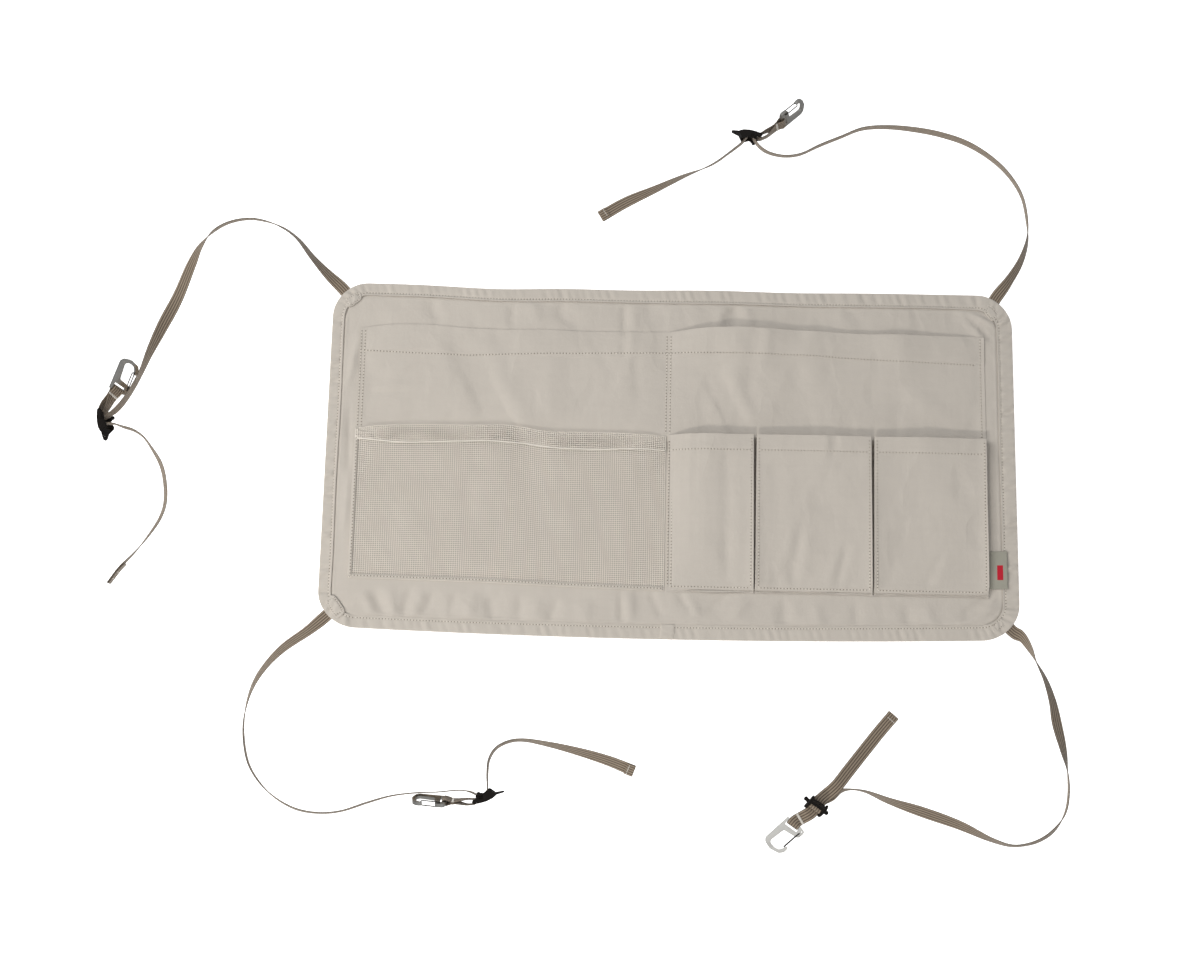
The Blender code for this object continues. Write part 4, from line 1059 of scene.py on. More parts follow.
@dataclass
class RimBinding:
    """The folded tape round the rim, its lapped end and its corner tucks."""

    bench: Bench
    stack: ClothStack
    tape: float = 0.7 * MM
    corner_lift: float = 1.6 * MM
    curl: float = 1.5 * MM
    stitch_in: float = 3.1 * MM
    groove: float = 0.66
    step: float = 2.2 * MM

    def build(self) -> None:
        """Makes the tape, its lap, its tucks and its stitches."""
        at = self.stack.at
        self.top = at.panel_top + at.gap + self.tape
        stations = self._rim()
        draw = random.Random(11)
        self._pleats = [(draw.uniform(9, 24) * MM, draw.uniform(0, 6.28), draw.uniform(0.3, 1.0))
                        for _ in range(7)]
        sections = [self._section(*station) for station in stations]
        count = len(sections[0])
        along = [station[4] for station in stations]
        bm = sweep(sections, [n / count for n in range(count)], along, closed=True)
        self.bench.piece("rim_binding", bm, BINDING_TAPE, ["edge_binding"], 70)
        self._lap()
        self._stitches(stations)

    def _rim(self) -> list[tuple]:
        """Stations round the rim: x, y, inward normal, corner share and run."""
        at = self.stack.at
        x, y, r = at.half_length, at.half_height, at.radius
        made = []
        run = 0.0
        sides = (((0, -1), 0.0, x - r), ((1, 0), 90.0, y - r), ((0, 1), 180.0, x - r),
                 ((-1, 0), 270.0, y - r))
        centres = ((1, -1), (1, 1), (-1, 1), (-1, -1))
        for (out, heading, half), centre in zip(sides, centres):
            out = Vector(out)
            way = Vector((-out.y, out.x))
            count = max(1, round(2 * half / self.step))
            for n in range(count):
                shift = -half + 2 * half * n / count
                spot = Vector((out.x * x, out.y * y)) + way * shift
                made.append((spot.x, spot.y, -out, 0.0, run))
                run += 2 * half / count
            middle = Vector((centre[0] * (x - r), centre[1] * (y - r)))
            count = max(1, round(math.pi / 2 * r / self.step))
            for n in range(count):
                turn = math.radians(heading - 90 + 90 * n / count)
                away = Vector((math.cos(turn), math.sin(turn)))
                lump = float(smoothstep(0.0, 1.0, min(1.0, 1.6 * math.sin(math.pi * n / count))))
                spot = middle + away * r
                made.append((spot.x, spot.y, -away, lump, run))
                run += math.pi / 2 * r / count
        return made

    def _pucker(self, run: float) -> float:
        """How the tape gathers along its run, from about -1 to 1."""
        waves = (w * math.sin(2 * math.pi * run / length + turn)
                 for length, turn, w in self._pleats)
        return sum(waves) / 2.2

    def _section(self, x: float, y: float, inward: Vector, lump: float, run: float) -> list[Vector]:
        """The tape's folded section at a station.

        Args:
            x: The rim's place.
            y: The rim's place.
            inward: The way to the panel's middle.
            lump: How far the strap under it lifts it, from 0 to 1.
            run: How far along the tape it is.

        Returns:
            The section's corners, round the outside and back along the inside.
        """
        at = self.stack.at
        t, w = self.tape, at.tape(x) + 0.4 * MM * math.sin(run / (31 * MM))
        top, lift = self.top, self.corner_lift * lump
        curl = self.curl * float(smoothstep(-198 * MM, -172 * MM, y)) * (1 - 0.6 * lump)
        curl *= 1 - 0.6 * float(smoothstep(380 * MM, 410 * MM, x))
        seam = w - self.stitch_in
        crown = [(0.007, 0.55), (0.024, 0.80), (0.08, 0.95), (0.22, 1.0), (0.42, 1.0),
                 (0.62, 1.0), (0.80, 0.95), (0.93, 0.7), (1.0, 0.4), (1.07, 0.6), (1.14, 0.8)]
        upper, inner = [], []
        for share, high in crown:
            u = seam * share
            gather = self._pucker(run + 0.35 * u)
            arch = math.sin(math.pi * min(1, share)) ** 0.6
            swell = 0.8 * MM * high + (0.62 + 0.6 * abs(inward.x)) * MM * gather * arch
            swell += curl * float(smoothstep(1.0, 1.12, share))
            upper.append((u, top - 0.35 * MM + swell + lift))
        upper.append((w, top + 0.25 * MM + 0.85 * curl + lift))
        inner.append((w, top - t + 0.15 * MM + lift))
        for u in (12.0, 6.0, 2.0):
            inner.append((u * MM, top - t - 0.3 * MM + lift))
        inner += [(1.0 * MM, (top + lift) / 2), (2.0 * MM, t), (8.0 * MM, t), (w, t)]
        under = [(w, 0.0), (9.0 * MM, 0.0), (3.0 * MM, 0.0), (0.7 * MM, 0.15 * MM),
                 (0.1 * MM, 0.6 * MM)]
        return [at.warped(x + inward.x * u, y + inward.y * u, z)
                for u, z in upper + inner + under]

    def _lap(self) -> None:
        """The folded end of the tape, sewn over its start at the bottom middle."""
        low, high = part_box("binding_lap")
        top = self.top + 0.9 * MM

        def place(u, v):
            x = 0.5 * (low.x + high.x) - 1 * MM + u * 8.5 * MM + 0.6 * MM * v
            y = low.y + (high.y - low.y) * (v + 1) / 2
            edge = np.maximum(np.abs(u), np.abs(v)) ** 6
            return x, y, top + 0.7 * MM * (1 - edge) + 0.15 * MM * np.sin(7 * v + 2 * u)

        bm = thicken(sheet_grid(spread(-1, 1, 0.1), spread(-1, 1, 0.1), place), self.tape)
        self.bench.piece("rim_binding_lap", bm, BINDING_TAPE, ["binding_lap"])

    def _stitches(self, stations: list[tuple]) -> None:
        """The row of stitches that closes the tape on the canvas."""
        at = self.stack.at
        line = []
        for x, y, inward, lump, _ in stations:
            u = at.tape(x) - self.stitch_in
            z = self.top + self.corner_lift * lump + 0.12 * MM
            line.append(at.warped(x + inward.x * u, y + inward.y * u, z))
        line.append(line[0])
        seam = Seam(pitch=3.8 * MM)
        seam.row(line)
        seam.finish(self.bench, "rim")
        self._patches()

    def _patches(self) -> None:
        """The box-stitched lumps where the tape is folded over each strap's sewn end."""
        top = self.top + self.corner_lift
        for corner, (outer, inner, swell) in PATCHES.items():
            a, b, c, d = (Vector((*p, 0)) * MM for p in (*outer, *inner))

            def spot(u: float, v: float) -> Vector:
                u, v = (1 + u) / 2, (1 + v) / 2
                return a.lerp(b, u).lerp(c.lerp(d, u), v)

            def place(u, v):
                edge = np.maximum(np.abs(u), np.abs(v))
                round_off = np.maximum((np.abs(u) ** 4 + np.abs(v) ** 4) ** 0.25, 1e-6)
                u, v = u * edge / round_off, v * edge / round_off
                made = [spot(i, j) for i, j in zip(u, v)]
                box = np.exp(-((edge - self.groove) / 0.09) ** 2)
                drop = (self.corner_lift + 0.9 * MM) * smoothstep(0.86, 1.0, edge)
                z = top + swell * MM * (1 - edge ** 6) - 0.9 * MM * box - drop
                crease = 0.3 * MM * np.sin(9 * u + 3 * v)
                return (np.array([m.x for m in made]), np.array([m.y for m in made]), z + crease)

            bm = thicken(sheet_grid(spread(-1, 1, 0.07), spread(-1, 1, 0.07), place), self.tape)
            name = f"corner_patch_{corner.value}"
            self.bench.piece(name, bm, BINDING_TAPE, sharp=60)
            seam = Seam(pitch=2.9 * MM, radius=0.45 * MM)
            sewn = self.groove * 0.93
            height = Vector((0, 0, top + (swell * 0.93 - 0.75) * MM))
            line = [spot(u * sewn, v * sewn) + height
                    for u, v in ((-1, -1), (1, -1), (1, 1), (-1, 1), (-1, -1))]
            seam.row(line)
            seam.finish(self.bench, name)


@dataclass
class UpperPocket:
    """One sheet over the upper half, sewn down its middle into two compartments."""

    bench: Bench
    stack: ClothStack
    step: float = 3.4 * MM

    def build(self) -> None:
        """Makes the sheet, its turned hem and its stitches."""
        at = self.stack.at
        columns = spread(at.pocket_left, at.pocket_right, self.step)
        near, deep = 40 * MM, at.upper_mouth - at.upper_foot
        rows = (spread(0, 29 * MM, self.step)[:-1] + spread(29 * MM, 35 * MM, 0.75 * MM)
                + spread(near, deep, self.step))

        def place(x, down):
            mouth = eased(UPPER_MOUTH, 10, x)
            rest = (down - near) / (deep - near)
            y = np.where(down < near, mouth - down, at.upper_foot + (mouth - near
                         - at.upper_foot) * (1 - rest))
            return x, y, self.stack.upper(x, y)

        bm = thicken(sheet_grid(columns, rows, place), at.cloth)
        sheet = self.bench.piece("upper_pocket_cloth", bm, POCKET_CLOTH, ["upper_pocket"])
        self._stitches(at)

    def _stitches(self, at: Layout) -> None:
        """Side, middle and hem rows."""
        seam = Seam()
        foot = at.lower_mouth - 2 * MM
        hem = [(x * MM, y * MM) for x, y in UPPER_HEM_STITCH]
        rows = [(at.pocket_left + 2 * MM, 159 * MM), (at.pocket_left + 6.5 * MM, 159 * MM),
                (-6 * MM, 161 * MM), (-1 * MM, 161 * MM), (at.pocket_right - 5 * MM, 162 * MM)]
        for x, top in rows:
            seam.on(self.stack.upper, [(x, foot), (x, top)])
        seam.on(self.stack.upper, hem)
        seam.finish(self.bench, "upper_pocket")


@dataclass
class NetPocket:
    """The knitted net of the lower left pocket, its doubled hem and its edge tape."""

    bench: Bench
    stack: ClothStack
    mesh_x: float = 2.66 * MM
    mesh_y: float = 2.5 * MM
    yarn: float = 0.76 * MM

    def build(self) -> None:
        """Makes the net, the hem, the hem's sewn line and the tape."""
        at = self.stack.at

        def face(x, v):
            mouth = eased(NET_MOUTH, 10, x)
            foot = self._foot(x)
            y = foot + (mouth - foot) * v
            return x, y, self.stack.net(x, y)

        height = at.lower_mouth - at.lower_foot
        net = self._knit(face, height)
        piece = self.bench.piece("net_cloth", net, NETTING, ["mesh_pocket"], 180)

        def hem(x, v):
            mouth = eased(NET_MOUTH, 10, x) + 0.4 * MM
            line = eased(NET_HEM_LINE, 10, x)
            y = line + (mouth - line) * v
            return x, y, self.stack.net(x, y) + 0.8 * MM + 0.9 * MM * np.sin(math.pi * v)

        hem_net = self._knit(hem, 19 * MM)
        self.bench.piece("net_hem_cloth", hem_net, NETTING, ["mesh_hem"], 180)
        self._hem_line(at)
        self._tape(at)

    @staticmethod
    def _foot(x):
        """The net's bottom edge, which falls a little to the right."""
        return np.interp(x / MM, (-389, -229, -100, -6), (-152.5, -155, -159, -161)) * MM

    def _knit(self, place: Callable, height: float) -> bmesh.types.BMesh:
        """Knits a net on a surface: a grid whose edges become yarn.

        Args:
            place: Turns x and the share of the height into x, y and z.
            height: The net's height.

        Returns:
            The net.
        """
        at = self.stack.at
        columns = spread(at.pocket_left + 0.5 * MM, at.net_right, self.mesh_x)
        rows = spread(0, 1, self.mesh_y / height)
        bm = sheet_grid(columns, rows, place)
        bmesh.ops.wireframe(bm, faces=bm.faces[:], thickness=self.yarn, use_replace=True,
                            use_boundary=True, use_even_offset=True)
        bmesh.ops.recalc_face_normals(bm, faces=bm.faces)
        return bm

    def _hem_line(self, at: Layout) -> None:
        """The rolled edge of the hem, sewn down along its lower side."""
        sections, along = [], []
        for x in spread(at.pocket_left + 2 * MM, at.net_right, 3 * MM):
            y = float(eased(NET_HEM_LINE, 10, x))
            z = height_at(self.stack.net, x, y) + 1.1 * MM
            sections.append([Vector((x, y + 0.95 * MM * u, z + 0.6 * MM * v))
                             for u, v in circle(8)])
            along.append(x)
        bm = sweep(sections, [k / 8 for k in range(8)], along)
        self.bench.piece("net_hem_edge", bm, SEWING)

    def _tape(self, at: Layout) -> None:
        """The narrow tape over the left and bottom seams."""
        wide = 5.0 * MM
        profile = ((-0.5, 0.2), (-0.5, 1.6), (-0.42, 2.0), (0, 2.1), (0.42, 2.0), (0.5, 1.6),
                   (0.5, 0.2))
        left = at.pocket_left - 1 * MM

        def strip(points: list[tuple[float, float]], across: Vector) -> list[list[Vector]]:
            sections = []
            for x, y in points:
                base = height_at(self.stack.base, x, y)
                sections.append([Vector((x, y, base + z * MM)) + across * (u * wide)
                                 for u, z in profile])
            return sections

        ys = spread(-151 * MM, 33 * MM, 4 * MM)
        side = strip([(left + wide / 2, y) for y in ys], Vector((1, 0, 0)))
        xs = spread(left + wide, at.net_right - 1 * MM, 4 * MM)
        foot = [(x, float(self._foot(x)) + wide / 2) for x in xs]
        low = strip(foot, Vector((0, 1, 0)))
        marks = [n / 7 for n in range(7)]
        bm = sweep(side, marks, ys)
        add_shape(bm, sweep(low, marks, xs))
        self.bench.piece("net_edge_tape", bm, BINDING_TAPE, ["mesh_seam_tape"])
        seam = Seam()

        def on_tape(x, y):
            return self.stack.base(x, y) + 2.12 * MM

        seam.on(on_tape, [(left + wide * 0.6, ys[0]), (left + wide * 0.6, ys[-1])])
        seam.on(on_tape, foot)
        seam.finish(self.bench, "net")


@dataclass
class BellowsPocket:
    """A deep pocket whose sides are pleated and tuck back under its face."""

    name: str
    node: str
    folds: tuple[Fold, ...]
    left_pleat: bool
    lip: tuple[tuple[float, float], ...]
    seed: int
    fold: float = 8.0 * MM
    foot_depth: float = 2.5 * MM
    crease: tuple[tuple[float, float], ...] = (
        (0.5, 1.0), (0.9, 0.8), (1.3, 0.0), (1.7, 0.0), (2.1, 0.0), (2.5, 0.45), (3.0, 0.6),
        (3.5, 0.4), (4.0, 0.05))
    depth: float = 13.0 * MM
    hem: float = 21.5 * MM

    def build(self, bench: Bench, stack: ClothStack) -> None:
        """Makes the pocket's cloth and its stitches.

        Args:
            bench: Where the piece is finished.
            stack: The heights that it lies on.
        """
        low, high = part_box(self.node)
        self.left, self.right = low.x, high.x
        self.low, self.high = stack.at.lower_foot, stack.at.lower_mouth
        self.stack = stack
        self.slack = Slack(self.folds, 0.30 * MM, 60 * MM, self.seed)
        profile = self._profile()
        run = spread(0, len(profile) - 1, 0.12)
        rows = [self.low - d * MM for d, _ in reversed(self.crease)]
        rows += spread(self.low, self.high - 3.5 * MM, 3.2 * MM)
        marks = np.arange(len(profile))
        across, share = np.array(profile).T

        def place(u, y):
            x = np.interp(u, marks, across)
            s = np.interp(u, marks, share)
            up = np.clip((y - self.low) / (self.high - self.low), 0, 1)
            narrow = 0.9 * MM * (1 - up)
            x = x + np.where(x < (self.left + self.right) / 2, -narrow, narrow) * (s > 0.2)
            return x, y, self._height(x, y, s, up)

        bm = sheet_grid(run, rows, place)
        bmesh.ops.smooth_vert(bm, verts=bm.verts, factor=0.4, use_axis_x=True, use_axis_z=True)
        bm = thicken(bm, stack.at.cloth)
        made = bench.piece(self.name, bm, POCKET_CLOTH, [self.node], 60)
        self._stitches(bench)

    def _profile(self) -> list[tuple[float, float]]:
        """Places across the pocket from seam to seam, with their share of its depth."""
        pleat = ((self.fold, 0.0), (self.fold * 0.55, 0.02), (2.4 * MM, 0.3), (0.7 * MM, 0.66),
                 (0.0, 0.9), (0.7 * MM, 1.0))
        slope = ((0.0, 0.0), (3 * MM, 0.04), (8 * MM, 0.20), (16 * MM, 0.50), (27 * MM, 0.82),
                 (38 * MM, 0.96))
        start, inner = (pleat, 3 * MM) if self.left_pleat else (slope, 46 * MM)
        made = [(self.left + d, share) for d, share in start]
        made += [(x, 1.0) for x in spread(self.left + inner, self.right - 3 * MM, 9 * MM)]
        return made + [(self.right - d, share) for d, share in reversed(pleat)]

    def _height(self, x, y, share, up):
        """Height of the cloth.

        Args:
            x: Places across.
            y: Places up.
            share: Each place's share of the depth.
            up: How far up the pocket it is, from 0 to 1.

        Returns:
            The height of its face.
        """
        edge = np.minimum(x - self.left if self.left_pleat else 1.0, self.right - x)
        stiff = 4.0 * MM * (1 - up) * np.exp(-np.abs(edge) / (9 * MM)) * smoothstep(0, 0.05, up)
        deep = self.foot_depth + (self.depth - self.foot_depth) * up ** 0.8 + stiff
        across = (x - self.left) / (self.right - self.left)
        full = smoothstep(0.9, 1.0, share) * np.sin(math.pi * np.clip(across, 0, 1)) ** 0.7
        lip = eased(self.lip, 4, x) * smoothstep(0.55, 1.0, up) * full
        hem = 0.35 * MM * smoothstep(self.high - self.hem - 2 * MM, self.high - self.hem, y) * full
        soft = self.slack.lift(x, y) * full * smoothstep(0.0, 0.08, up)
        nip = np.interp((self.low - y) / MM, *zip(*self.crease))
        rise = (share * deep + lip + hem + soft) * nip
        return self.stack.base(x, y) + self.stack.at.cloth + rise

    def face(self, x, y):
        """Height of the pocket's face, for what is sewn on it."""
        up = np.clip((y - self.low) / (self.high - self.low), 0, 1)
        share = np.ones_like(x)
        if not self.left_pleat:
            share = np.interp(x, *zip(*self._profile()[:7]))
        return self._height(x, y, share, up)

    def _stitches(self, bench: Bench) -> None:
        """Rows along the foot and the hem, and beside each pleat."""
        seam = Seam()
        foot, hem = self.low + 2.4 * MM, self.high - self.hem - 1.2 * MM
        left, right = self.left + 3.2 * MM, self.right - 3.0 * MM
        seam.on(self.face, [(left, foot), (right, foot)])
        seam.on(self.face, [(left, hem), (right, hem)])
        if self.left_pleat:
            seam.on(self.face, [(left, foot), (left, self.high - 6 * MM)])
        else:
            for x in (self.left + 1.5 * MM, self.left + 5.5 * MM):
                seam.on(lambda a, b: self.stack.base(a, b) + 1.3 * MM,
                        [(x, foot), (x, self.high - 8 * MM)])
        seam.on(self.face, [(right, foot), (right, self.high - 6 * MM)])
        seam.finish(bench, self.name)


@dataclass
class SideTab:
    """The folded woven tab in the end pocket's side seam, with a plain red block."""

    bench: Bench
    block_x: tuple[float, float] = (393.6 * MM, 405.4 * MM)
    block_y: tuple[float, float] = (-139.8 * MM, -121.8 * MM)

    def build(self) -> None:
        """Makes the tab, folded double, and the block woven on its face."""
        low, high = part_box("side_tab")
        left = low.x

        def lie(x, y):
            curl = 1.3 * MM * smoothstep(0.3, 1.0, (x - left) / (high.x - left))
            curl = curl * (1 + 0.4 * np.sin((y - low.y) / (15 * MM)))
            return low.z + 0.2 * MM + curl + 0.175 * MM * np.sin((y - low.y) / (7 * MM))

        sections, along = [], spread(low.y, high.y, 1.5 * MM)
        width = high.x - left
        ring_spec = [(0, 0), (0.5, 0), (0.93, 0), (0.985, 0.2), (1.0, 0.6), (0.985, 1.0),
                     (0.93, 1.2), (0.5, 1.2), (0, 1.2)]
        for y in along:
            ring = []
            for u, z in ring_spec:
                x = left + u * width
                ring.append(Vector((x, y + 0.02 * (x - left), float(lie(x, y)) + z * MM)))
            sections.append(ring)
        bm = sweep(sections, [n / len(ring_spec) for n in range(len(ring_spec))], along)
        self.bench.piece("tab_tape", bm, TAB_TAPE, ["side_tab"])
        self._block(lie)

    def _block(self, lie: Callable) -> None:
        """The red block, a hair proud of the tape."""
        def place(x, y):
            return x, y, lie(x, y) + 1.3 * MM

        grid = sheet_grid(spread(*self.block_x, 1.5 * MM), spread(*self.block_y, 1.5 * MM), place)
        self.bench.piece("tab_block", thicken(grid, 0.12 * MM), TAB_RED)


ROUTES = {
    "tl": dict(
        exit=132.6,
        main=[(-23, 22, 31), (-43, 43, 57), (-64, 68, 71), (-84, 82, 72), (-107, 90, 80),
              (-128, 92, 80), (-153, 86, 80), (-171, 74, 78), (-186, 55, 45), (-196, 32, 20),
              (-211, -11, 0), (-227, -52, -40), (-239.5, -85, -69), (-247.5, -110, -85, 9),
              (-256.5, -134, -86, 13), (-267, -155, -83, 18)],
        tail=[(-262, -182.5, -92, 18), (-250, -185.5, -94, 13), (-239.5, -192, -97, 9),
              (-229, -205, -105),
              (-215, -227, -116), (-208, -253, -119), (-207, -276, -120), (-212, -294, -120),
              (-226, -318, -114), (-240, -337, -102), (-255, -354, -95),
              (-268, -373, -96)],
    ),
    "tr": dict(
        exit=58.0,
        main=[(18, 25, 36), (34, 52, 52), (43, 81, 70), (43, 105, 84), (37, 138, 84),
              (21, 166, 85), (-1, 188, 88), (-31, 207, 92), (-63, 218, 93), (-94, 224, 92),
              (-133, 227, 87), (-164, 224, 85), (-192, 212, 85), (-219, 200, 85),
              (-243, 188, 82), (-260, 185, 80), (-275, 186, 80, 9), (-288, 189, 82, 13)],
        tail=[(-334, 187, 83, 10), (-355, 172, 79), (-391, 156, 54),
              (-430, 137, 31), (-464, 121, 8), (-495, 102, 0)],
    ),
    "bl": dict(
        exit=223.7,
        main=[(-21, -19, 24), (-50, -41, 37), (-66, -58, 48), (-80, -79, 57), (-88, -101, 69),
              (-92, -130, 82), (-90, -155, 86), (-83, -180, 87), (-69, -201, 86),
              (-50, -218, 81), (-24, -231, 80), (5, -235, 84), (30, -232, 86), (59, -222, 86),
              (87, -213.5, 88), (117, -209.2, 89), (143, -207.7, 90), (163, -205.5, 90, 10),
              (176, -205.5, 90, 15)],
        tail=[(200.5, -186, 88, 11), (202, -168, 85), (210, -155, 82),
              (225, -147, 80), (241, -145, 78), (270, -149, 68), (307, -157, 52),
              (343, -167, 38), (373, -178, 28)],
    ),
    "br": dict(
        exit=317.0,
        main=[(13, -10, 50), (22, -24, 76), (29, -39, 104), (40, -61, 125), (48, -86, 141),
              (53, -113, 156), (59, -143, 138), (63, -172, 103), (63, -196, 97),
              (58, -218, 98), (45, -237, 113), (28, -249, 110), (9, -255, 103),
              (-7, -256, 100), (-29, -250, 107), (-66, -234, 132), (-108, -220, 142),
              (-150, -207, 117), (-177, -197, 97), (-193, -195, 93, 8),
              (-206, -197, 111, 8.4), (-217, -203, 144, 6.8)],
        tail=[(-213.5, -192.5, 0, 18.6), (-198.5, -174.5, 0, 14), (-179, -151, 0, 7),
              (-160, -128, 0, 2.6), (-142, -107, 0, 1.2)],
    ),
}

HARDWARE = {
    "tl": dict(lean=0.4, buckle=(-286.4, -176.4, 16.8, -79.0, 0, 101),
               hook=(-274.5, -134.5, 13.4, 60.0, 0, -130)),
    "tr": dict(lean=0.4, buckle=(-308.5, 208.1, 17.9, 171.0, 0, 84),
               hook=(-267.5, 226, 18.6, 49.0, 0, 72)),
    "bl": dict(lean=0.4, buckle=(199, -212.9, 17.7, 21.5, 0, 96),
               hook=(152.8, -217.8, 18.0, 181.0, 0, 68)),
    "br": dict(lean=0.0, buckle=(-237, -217, 16.8, 56.0, 72, 0),
               hook=(-261.5, -236, 4.8, 235.2, 0, 0)),
}

ALONG_PATH = ((-13.0, -11.5), (-8.6, -7.0), (-5.6, -3.4), (-4.0, -0.2), (-2.8, 2.0),
              (-1.0, 2.9), (0.7, 2.3), (1.9, 0.6), (3.1, -2.4), (4.8, -5.8), (6.6, -9.6))
SQUARE_PATH = ((-9.0, -13.0), (-7.6, -8.6), (-5.8, -4.2), (-4.4, -0.8), (-3.1, 1.9),
               (-1.0, 2.9), (1.0, 2.2), (2.2, 0.3), (3.0, -2.8), (3.6, -6.0), (4.2, -10.4))
BUCKLE_PATHS = {"tl": SQUARE_PATH, "tr": ALONG_PATH, "bl": ALONG_PATH, "br": SQUARE_PATH}


@dataclass
class Webbing:
    """The webbing's own section, which every strap and loop is swept with."""

    width: float = 15.0 * MM
    thickness: float = 1.3 * MM
    ribs: int = 5
    clearance: float = 0.3 * MM

    def section(self) -> tuple[list[tuple[float, float]], list[float]]:
        """The section's outline.

        Returns:
            Its points as shares of the half width and metres off the middle, and
            the UV across of each.
        """
        count = self.ribs * 4
        upper = []
        for n in range(count + 1):
            v = -1 + 2 * n / count
            rib = abs(math.sin(math.pi * self.ribs * (v + 1) / 2))
            round_off = max(0.0, 1 - abs(v) ** 14)
            upper.append((v, self.thickness / 2 * (0.74 + 0.26 * rib) * round_off ** 0.5))
        lower = [(v, -h) for v, h in reversed(upper[1:-1])]
        ring = upper + lower
        return ring, [(v + 1) / 2 for v, _ in ring]

    def sections(self, stations: Sequence[Station], closed: bool = False) -> list[list[Vector]]:
        """The section set at each station.

        Args:
            stations: The middle of the webbing and the way across it.
            closed: Whether the run joins its own start.

        Returns:
            The corners at each station.
        """
        ring, _ = self.section()
        made = []
        count = len(stations)
        for n, (point, across) in enumerate(stations):
            before = stations[(n - 1) % count][0] if closed or n else point
            after = stations[(n + 1) % count][0] if closed or n + 1 < count else point
            along = (after - before).normalized()
            side = square_to(across, along)
            face = along.cross(side).normalized()
            made.append([point + side * (v * self.width / 2) + face * h for v, h in ring])
        return made

    def shape(self, stations: Sequence[Station], closed: bool = False) -> bmesh.types.BMesh:
        """Sweeps the webbing along stations, with its UV map in metres along."""
        _, across = self.section()
        along = [0.0]
        for (a, _), (b, _) in zip(stations, stations[1:]):
            along.append(along[-1] + (b - a).length)
        return sweep(self.sections(stations, closed), across, along, closed)


def smooth_through(points: Sequence[Station], step: float) -> list[Station]:
    """A centripetal curve through stations.

    Args:
        points: The stations to pass through.
        step: About how far apart its own stations are.

    Returns:
        Stations along the curve.
    """
    made = []
    count = len(points)
    for n in range(count - 1):
        p1, b1 = points[n]
        p2, b2 = points[n + 1]
        p0, b0 = points[n - 1] if n else (p1 * 2 - p2, b1)
        p3, b3 = points[n + 2] if n + 2 < count else (p2 * 2 - p1, b2)
        t0 = 0.0
        t1 = t0 + math.sqrt((p1 - p0).length)
        t2 = t1 + math.sqrt((p2 - p1).length)
        t3 = t2 + math.sqrt((p3 - p2).length)
        pieces = max(1, round((p2 - p1).length / step))
        for k in range(pieces):
            t = t1 + (t2 - t1) * k / pieces

            def between(a: Vector, b: Vector, low: float, high: float) -> Vector:
                return a * ((high - t) / (high - low)) + b * ((t - low) / (high - low))

            def blend(q0: Vector, q1: Vector, q2: Vector, q3: Vector) -> Vector:
                first, second = between(q0, q1, t0, t1), between(q1, q2, t1, t2)
                third = between(q2, q3, t2, t3)
                return between(between(first, second, t0, t2),
                               between(second, third, t1, t3), t1, t2)

            made.append((blend(p0, p1, p2, p3), blend(b0, b1, b2, b3).normalized()))
    made.append(points[-1])
    return made


def square_to(way: Vector, across: Vector) -> Vector:
    """A unit way with what points along another taken out."""
    return (way - across * way.dot(across)).normalized()


